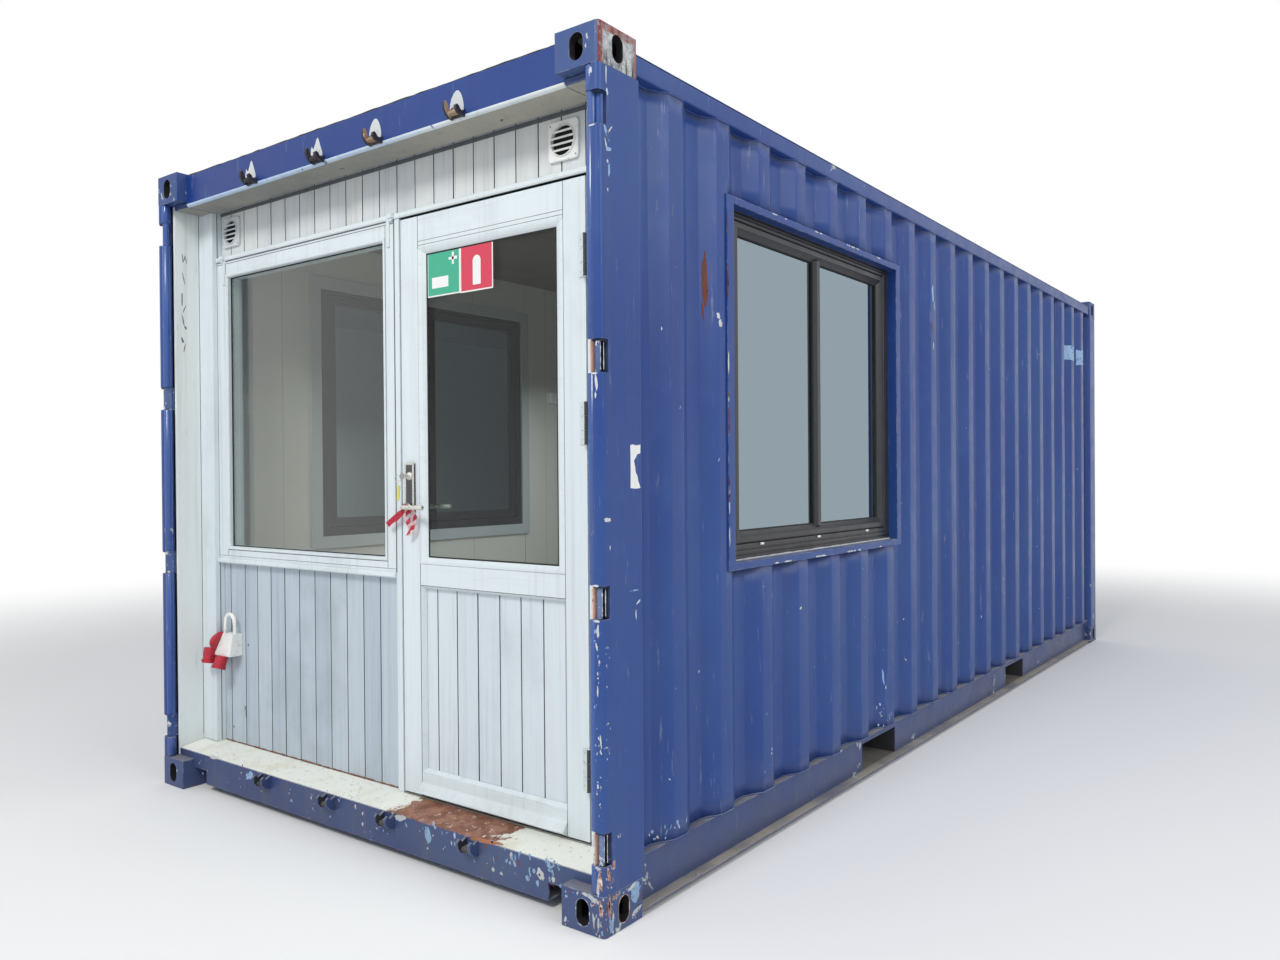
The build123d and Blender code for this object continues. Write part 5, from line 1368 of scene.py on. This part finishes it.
addTube(bm, path, radii, 24)
for front, way in ((lock["front"] - 3.6 * mm, -1), (lock["back"] + 3.6 * mm, 1)):
    collar = ((8, 0), (12.5, 0), (12.5, 4), (11, 6.5), (8, 7))
    addTurned(bm, collar, (leverX, front, leverZ), (0, way, 0), 28)
leverPiece = finishMesh("lever_handle", bm, "brightSteel", 50, "lever")
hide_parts("door_lever")

# strips of red and white tape tied round the lever's neck, which turns inside them: width, then points of the
# middle in mm, each with the direction across
tape = {"stripe": 0.018, "thick": 0.3 * mm, "neck": 13 * mm, "tiedTo": 0.018, "flatFrom": 0.045,
        "left": (0.024, (((193.4, -2876.5, 1209.2), (0, 1, 0)), ((188.9, -2876.5, 1201), (0, 1, 0)),
                         ((185, -2876, 1191), (0.2, 1, -0.2)), ((176, -2875, 1182), (0.5, 0.5, -0.7)),
                         ((156, -2874, 1170), (0.6, 0.2, -0.8)), ((139, -2874, 1159.5), (0.5, 0.3, -0.8)),
                         ((117, -2875, 1147), (0.6, 0.1, -0.8)), ((98, -2876, 1134), (0.6, 0.2, -0.8)))),
        "middle": (0.019, (((201.2, -2876.5, 1209.7), (0, 1, 0)), ((207.2, -2876.5, 1201), (0, 1, 0)),
                           ((207.5, -2876, 1190), (0.4, 1, 0)), ((208, -2875, 1177), (0.9, 0.4, 0.1)),
                           ((206, -2873, 1159), (0.8, 0.5, 0.2)), ((213, -2876, 1138), (0.9, 0.3, -0.2)),
                           ((215, -2874, 1121), (0.9, -0.3, 0)), ((211, -2875, 1100), (0.9, 0.3, 0)))),
        "right": (0.016, (((202.4, -2876.5, 1213.2), (0, 1, 0)), ((210.2, -2876.5, 1205.4), (0, 1, 0)),
                          ((214, -2876, 1197), (0.2, 1, 0)), ((223, -2875, 1188), (0.5, 0.7, 0.5)),
                          ((235, -2873, 1178), (0.7, 0.5, 0.4)), ((243, -2872, 1160), (0.8, 0.5, 0.2)),
                          ((236, -2876, 1134), (0.8, 0.4, -0.3)), ((229, -2874, 1111), (0.8, 0.4, -0.2))))}


def stripedTape(name, red, white):
    tree, shader, place = newMaterial(name)
    run = addNode(tree, "Attribute", attribute_name="tapeRun").outputs["Fac"]
    half = tape["stripe"] / 2
    crossed = ramp(calc("PINGPONG", run, tape["stripe"]), half - 0.3 * mm, half + 0.3 * mm)
    faded = ramp(noiseAt(place, 90, 4), 0.45, 0.7, 0, 0.4)
    base = mix(faded, mix(crossed, red, white), srgb(236, 150, 156))
    finishSurface(shader, base, ramp(faded, 0, 0.4, 0.3, 0.5), noiseAt(place, 60, 3), 0.4, 1.5 * mm)


stripedTape("tapePlastic", srgb(212, 52, 78), srgb(240, 222, 222))


def curveThrough(points, steps=6):
    # smooth run through the points, with the same number of steps between each two
    run = []
    for i in range(len(points) - 1):
        a, b = points[max(i - 1, 0)], points[i]
        c, d = points[i + 1], points[min(i + 2, len(points) - 1)]
        for k in range(steps):
            t = k / steps
            run.append(0.5 * (2 * b + (c - a) * t + (2 * a - 5 * b + 4 * c - d) * t * t
                              + (3 * b - a - 3 * c + d) * t ** 3))
    return run + [points[-1]]


for name in ("left", "middle", "right"):
    width, keys = tape[name]
    middles = curveThrough([Vector(middle) * mm for middle, across in keys])
    acrosses = [across.normalized() for across in curveThrough([Vector(across) for middle, across in keys])]
    bm = bmesh.new()
    tapeRun = bm.verts.layers.float.new("tapeRun")
    rows = []
    run = 0
    for i, (middle, across) in enumerate(zip(middles, acrosses)):
        run += (middle - middles[max(i - 1, 0)]).length
        tied = min(max((tape["flatFrom"] - run) / (tape["flatFrom"] - tape["tiedTo"]), 0), 1)
        narrow = 1 - tied * (1 - tape["neck"] / width)
        rise = width / 4 * math.sqrt(1 - narrow * narrow)
        away = (middle - Vector((leverX, middle.y, leverZ))).normalized()
        row = []
        for k in range(5):
            share = 0.25 * k - 0.5
            wave = Vector((0, 0.5 * mm * math.sin(9 * share) * (1 - tied), 0))
            vertex = bm.verts.new(middle + across * width * share * narrow + away * rise * (k % 2) + wave)
            edge = 0.9 if k == 4 and run > 0.085 else 0.1
            vertex[tapeRun] = edge * tape["stripe"] if name == "left" else run + 0.2 * k * width
            row.append(vertex)
        rows.append(row)
    bridge(bm, rows, closed=False)
    bmesh.ops.solidify(bm, geom=list(bm.faces), thickness=tape["thick"])
    strip = finishMesh("tape_" + name, bm, "tapePlastic", 50, "door")
print("door furniture built")


# Two plain signs on the door glass

signs = {"glass": -2.838, "green": (0.2818, 1.9385, 0.4483, 2.106), "red": (0.449, 1.9365, 0.607, 2.1),
         "border": 5 * mm, "arch": (0.53, 2.01),
         "bars": ((0.4085, 2.042, 0.4185, 2.084), (0.3925, 2.058, 0.4345, 2.068),
                  (0.306, 1.968, 0.39, 2.006))}
bm = bmesh.new()


def addPlate(bm, rectangle, near, far, index):
    u0, v0, u1, v1 = rectangle
    addBox(bm, (u0, signs["glass"] - far, v0), (u1, signs["glass"] - near, v1), 0.15 * mm, index, 1)


for colour, index in (("green", 1), ("red", 2)):
    addPlate(bm, signs[colour], 0, 0.7 * mm, 0)
    addPlate(bm, inset(signs[colour], signs["border"]), 0.6 * mm, 1 * mm, index)
for rectangle in signs["bars"]:
    addPlate(bm, rectangle, 0.9 * mm, 1.2 * mm, 0)
shape = [(math.cos(t) * 19, math.sin(t) * 19 + 28) for t in (math.pi * k / 14 for k in range(15))]
shape += [(-19, -52), (19, -52)]
x, z = signs["arch"]
addPrism(bm, [(x + u * mm, z + v * mm) for u, v in shape], onFront(signs["glass"]), 0.9 * mm, 1.2 * mm)
finishMesh("door_signs", bm, "signWhite signGreen signRed", 25, "door")

# Vents: painted shade inside, as a near-black disc behind the bars, a fixing screw, the left one painted like
# the boards
vents = {"places": (-0.972, 0.92), "level": 2.362, "wall": -2.83, "half": (0.0615, 0.0625),
         "plate": 9 * mm, "hole": 0.0475, "rim": 0.05, "rimFront": 14.5 * mm,
         "bars": (-0.029, -0.0095, 0.01, 0.0295), "barHalf": 2.9 * mm}
for x, finish, name in ((vents["places"][0], "topBoards", "vent_grille_left"),
                        (vents["places"][1], "whitePlastic", "vent_grille_right")):
    size = vents
    place = onFront(size["wall"])
    bm = bmesh.new()
    angles = [2 * math.pi * (k + 0.5) / 56 for k in range(56)]
    rings = []
    for out, inward in ((0, 0), (size["plate"] - 1.5 * mm, 0), (size["plate"], 1.5 * mm)):
        ring = []
        for angle in angles:
            wide, tall = size["half"][0] - inward, size["half"][1] - inward
            u, v = math.cos(angle), math.sin(angle)
            reach = (abs(u / wide) ** 14 + abs(v / tall) ** 14) ** (-1 / 14)
            ring.append(bm.verts.new(place(x + u * reach, size["level"] + v * reach, out)))
        rings.append(ring)
    for radius, out in ((size["rim"], size["plate"]), (size["rim"], size["rimFront"] - 1 * mm),
                        (size["rim"] - 1 * mm, size["rimFront"]), (size["hole"] + 0.5 * mm, size["rimFront"]),
                        (size["hole"], size["rimFront"] - 1 * mm), (size["hole"], 0)):
        rings.append([bm.verts.new(place(x + radius * math.cos(a), size["level"] + radius * math.sin(a), out))
                      for a in angles])
    bridge(bm, rings + rings[:1])
    for rise in size["bars"]:
        half = math.sqrt(size["hole"] ** 2 - (abs(rise) + size["barHalf"]) ** 2) + 1 * mm
        outline = [(size["wall"] - out * mm, size["level"] + rise + v * size["barHalf"])
                   for v, out in ((1, 8), (1, 12), (0.5, 13), (-0.5, 13), (-1, 12), (-1, 8))]
        addPrism(bm, outline, alongX, x - half, x + half)
    # near-black disc behind the bars: painted shade of the duct
    reach = size["hole"] / mm
    disc = ((0, 0.2), (reach, 0.2), (reach, 0.6), (0, 0.6))
    addTurned(bm, disc, (x, size["wall"], size["level"]), (0, -1, 0), 32, 1)
    for away in (-0.052, 0.052):
        screw = (x - away, size["wall"] - size["plate"], size["level"] + away)
        addTurned(bm, screwHead, screw, (0, -1, 0), 16, 2, wide=0.7)
    finishMesh(name, bm, finish + " darkHollow zincSteel", 35)
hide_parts("vent_louvres")

# Socket block: lids and drain screws
dressNode("socket_block", "whitePlastic", bevel=2.2 * mm, segments=3)
dressNode("socket_outlets", "redPlastic", bevel=1 * mm)
socket = {"hoopRight": (-0.9365, -2.858), "hoopLeft": (-0.9965, -2.868), "foot": 0.64, "top": 0.724,
          "bar": 7 * mm,
          "lids": (((-1.068, -2.8953, 0.578), 8), ((-0.987, -2.885, 0.557), 20)), "lidRadius": 29 * mm,
          "outlet": 56 * mm}
bm = bmesh.new()
for (x, y, z), tilt in socket["lids"]:
    along = Vector((0, -math.sin(math.radians(tilt)), -math.cos(math.radians(tilt))))
    mouth = Vector((x, y, z)) + along * socket["outlet"]
    reach = socket["lidRadius"] / mm
    lid = ((0, 4), (reach - 7, 4), (reach - 3, 3), (reach - 1, 1), (reach, -2), (reach, -5),
           (reach - 2, -6), (reach - 2.5, -4), (0, -4))
    addTurned(bm, lid, mouth, along, 40)
    hinge = mouth + Vector((0, -socket["lidRadius"] + 1 * mm, 2 * mm)) + along * -2 * mm
    addTube(bm, [hinge + Vector((-9 * mm, 0, 0)), hinge + Vector((9 * mm, 0, 0))], 3 * mm, 12)
    for collar in (0.25, 0.55):
        middle = Vector((x, y, z)) + along * socket["outlet"] * collar
        band = ((24.8, -2), (26.2, -1.5), (26.2, 1.5), (24.8, 2))
        addTurned(bm, band, middle, along, 36)
finishMesh("socket_lids", bm, "redPlastic", 35)
bm = bmesh.new()
leftX, leftY = socket["hoopLeft"]
rightX, rightY = socket["hoopRight"]
hoop = []
for k in range(33):
    angle = math.pi * k / 32
    x = (leftX + rightX) / 2 + (rightX - leftX) / 2 * math.cos(angle)
    y = leftY + (rightY - leftY) * (1 - k / 32)
    hoop.append((x, y, socket["foot"] + (socket["top"] - socket["foot"]) * math.sin(angle) ** 0.6))
addTube(bm, hoop, socket["bar"], 12)
addTurned(bm, screwHead, (-0.938, -2.885, 0.566), (0, -1, 0.15), 16, 1)
finishMesh("socket_hoop_cover", bm, "whitePlastic zincSteel", 50)
print("signs, vents and socket block built")


# Floor, light and camera

stage = {"pale": 0.84, "clearFrom": 4.5, "clearTo": 10, "skyLight": 0.62, "keyWatts": 440,
         "fillWatts": 250, "insideWatts": 20}


def seenRay(tree):
    # 1 where the camera looks, also in a mirror or through glass
    path = addNode(tree, "LightPath").outputs
    return larger(path["Is Camera Ray"], larger(path["Is Glossy Ray"], path["Is Transmission Ray"]))


bpy.ops.mesh.primitive_plane_add(size=160, location=(0, 0, -0.4 * mm))
floorPlane = bpy.context.object
floorPlane.name = "studio_floor"
tree, shader, place = newMaterial("studioFloor")
shader.inputs["Base Color"].default_value = (stage["pale"], stage["pale"], stage["pale"], 1)
shader.inputs["Roughness"].default_value = 0.9
shader.inputs["Specular IOR Level"].default_value = 0.1
clear = times(ramp(vectorMath("LENGTH", place)["Value"], stage["clearFrom"], stage["clearTo"]), seenRay(tree))
blendOut(tree, clear, shader, addNode(tree, "Emission", {"Color": (1, 1, 1, 1), "Strength": 1}))
floorPlane.data.materials.append(looks["studioFloor"])

world = bpy.data.worlds.new("studio")
bpy.context.scene.world = world
world.use_nodes = True
tree = world.node_tree
tree.nodes.clear()
softSky = addNode(tree, "Background", {"Color": (0.93, 0.96, 1, 1), "Strength": stage["skyLight"]})
whiteSky = addNode(tree, "Background", {"Color": (1, 1, 1, 1), "Strength": 1})
tree.nodes.new("ShaderNodeOutputWorld")
blendOut(tree, seenRay(tree), softSky, whiteSky)


def addLamp(name, place, aim, size, watts, colour=(1, 1, 1), hidden=False):
    lamp = bpy.data.lights.new(name, "AREA")
    lamp.shape = "DISK"
    lamp.size = size
    lamp.energy = watts
    lamp.color = colour
    holder = bpy.data.objects.new(name, lamp)
    holder.location = place
    holder.rotation_euler = (Vector(aim) - Vector(place)).to_track_quat("-Z", "Y").to_euler()
    bpy.context.scene.collection.objects.link(holder)
    if hidden:
        holder.visible_camera = holder.visible_glossy = holder.visible_transmission = False


addLamp("key_light", (1.5, -9, 7.5), (0, -2.5, 1), 2.6, stage["keyWatts"], (1, 0.98, 0.95))
addLamp("fill_light", (9, -2, 6), (1, 0, 1), 6, stage["fillWatts"])
addLamp("inside_light", (0.1, -1.2, 1.8), (0, -1.2, 0), 1.6, stage["insideWatts"], hidden=True)

view = {"place": (2.96185, -5.17458, 1.31596), "yaw": 0.64287447, "pitch": -0.00710718, "roll": -0.00749677,
        "lens": 27.67}
reach = math.cos(view["pitch"])
forward = Vector((-math.sin(view["yaw"]) * reach, math.cos(view["yaw"]) * reach, math.sin(view["pitch"])))
level = forward.cross(Vector((0, 0, 1))).normalized()
upward = level.cross(forward)
right = math.cos(view["roll"]) * level + math.sin(view["roll"]) * upward
up = -math.sin(view["roll"]) * level + math.cos(view["roll"]) * upward
camera = bpy.data.cameras.new("camera")
camera.lens = view["lens"]
camera.sensor_width = 36
cameraObject = bpy.data.objects.new("camera", camera)
turn = Matrix((right, up, -forward)).transposed().to_4x4()
cameraObject.matrix_world = Matrix.Translation(Vector(view["place"])) @ turn
bpy.context.scene.collection.objects.link(cameraObject)
bpy.context.scene.camera = cameraObject
bpy.context.scene.view_settings.view_transform = "Standard"

print("scene ready")
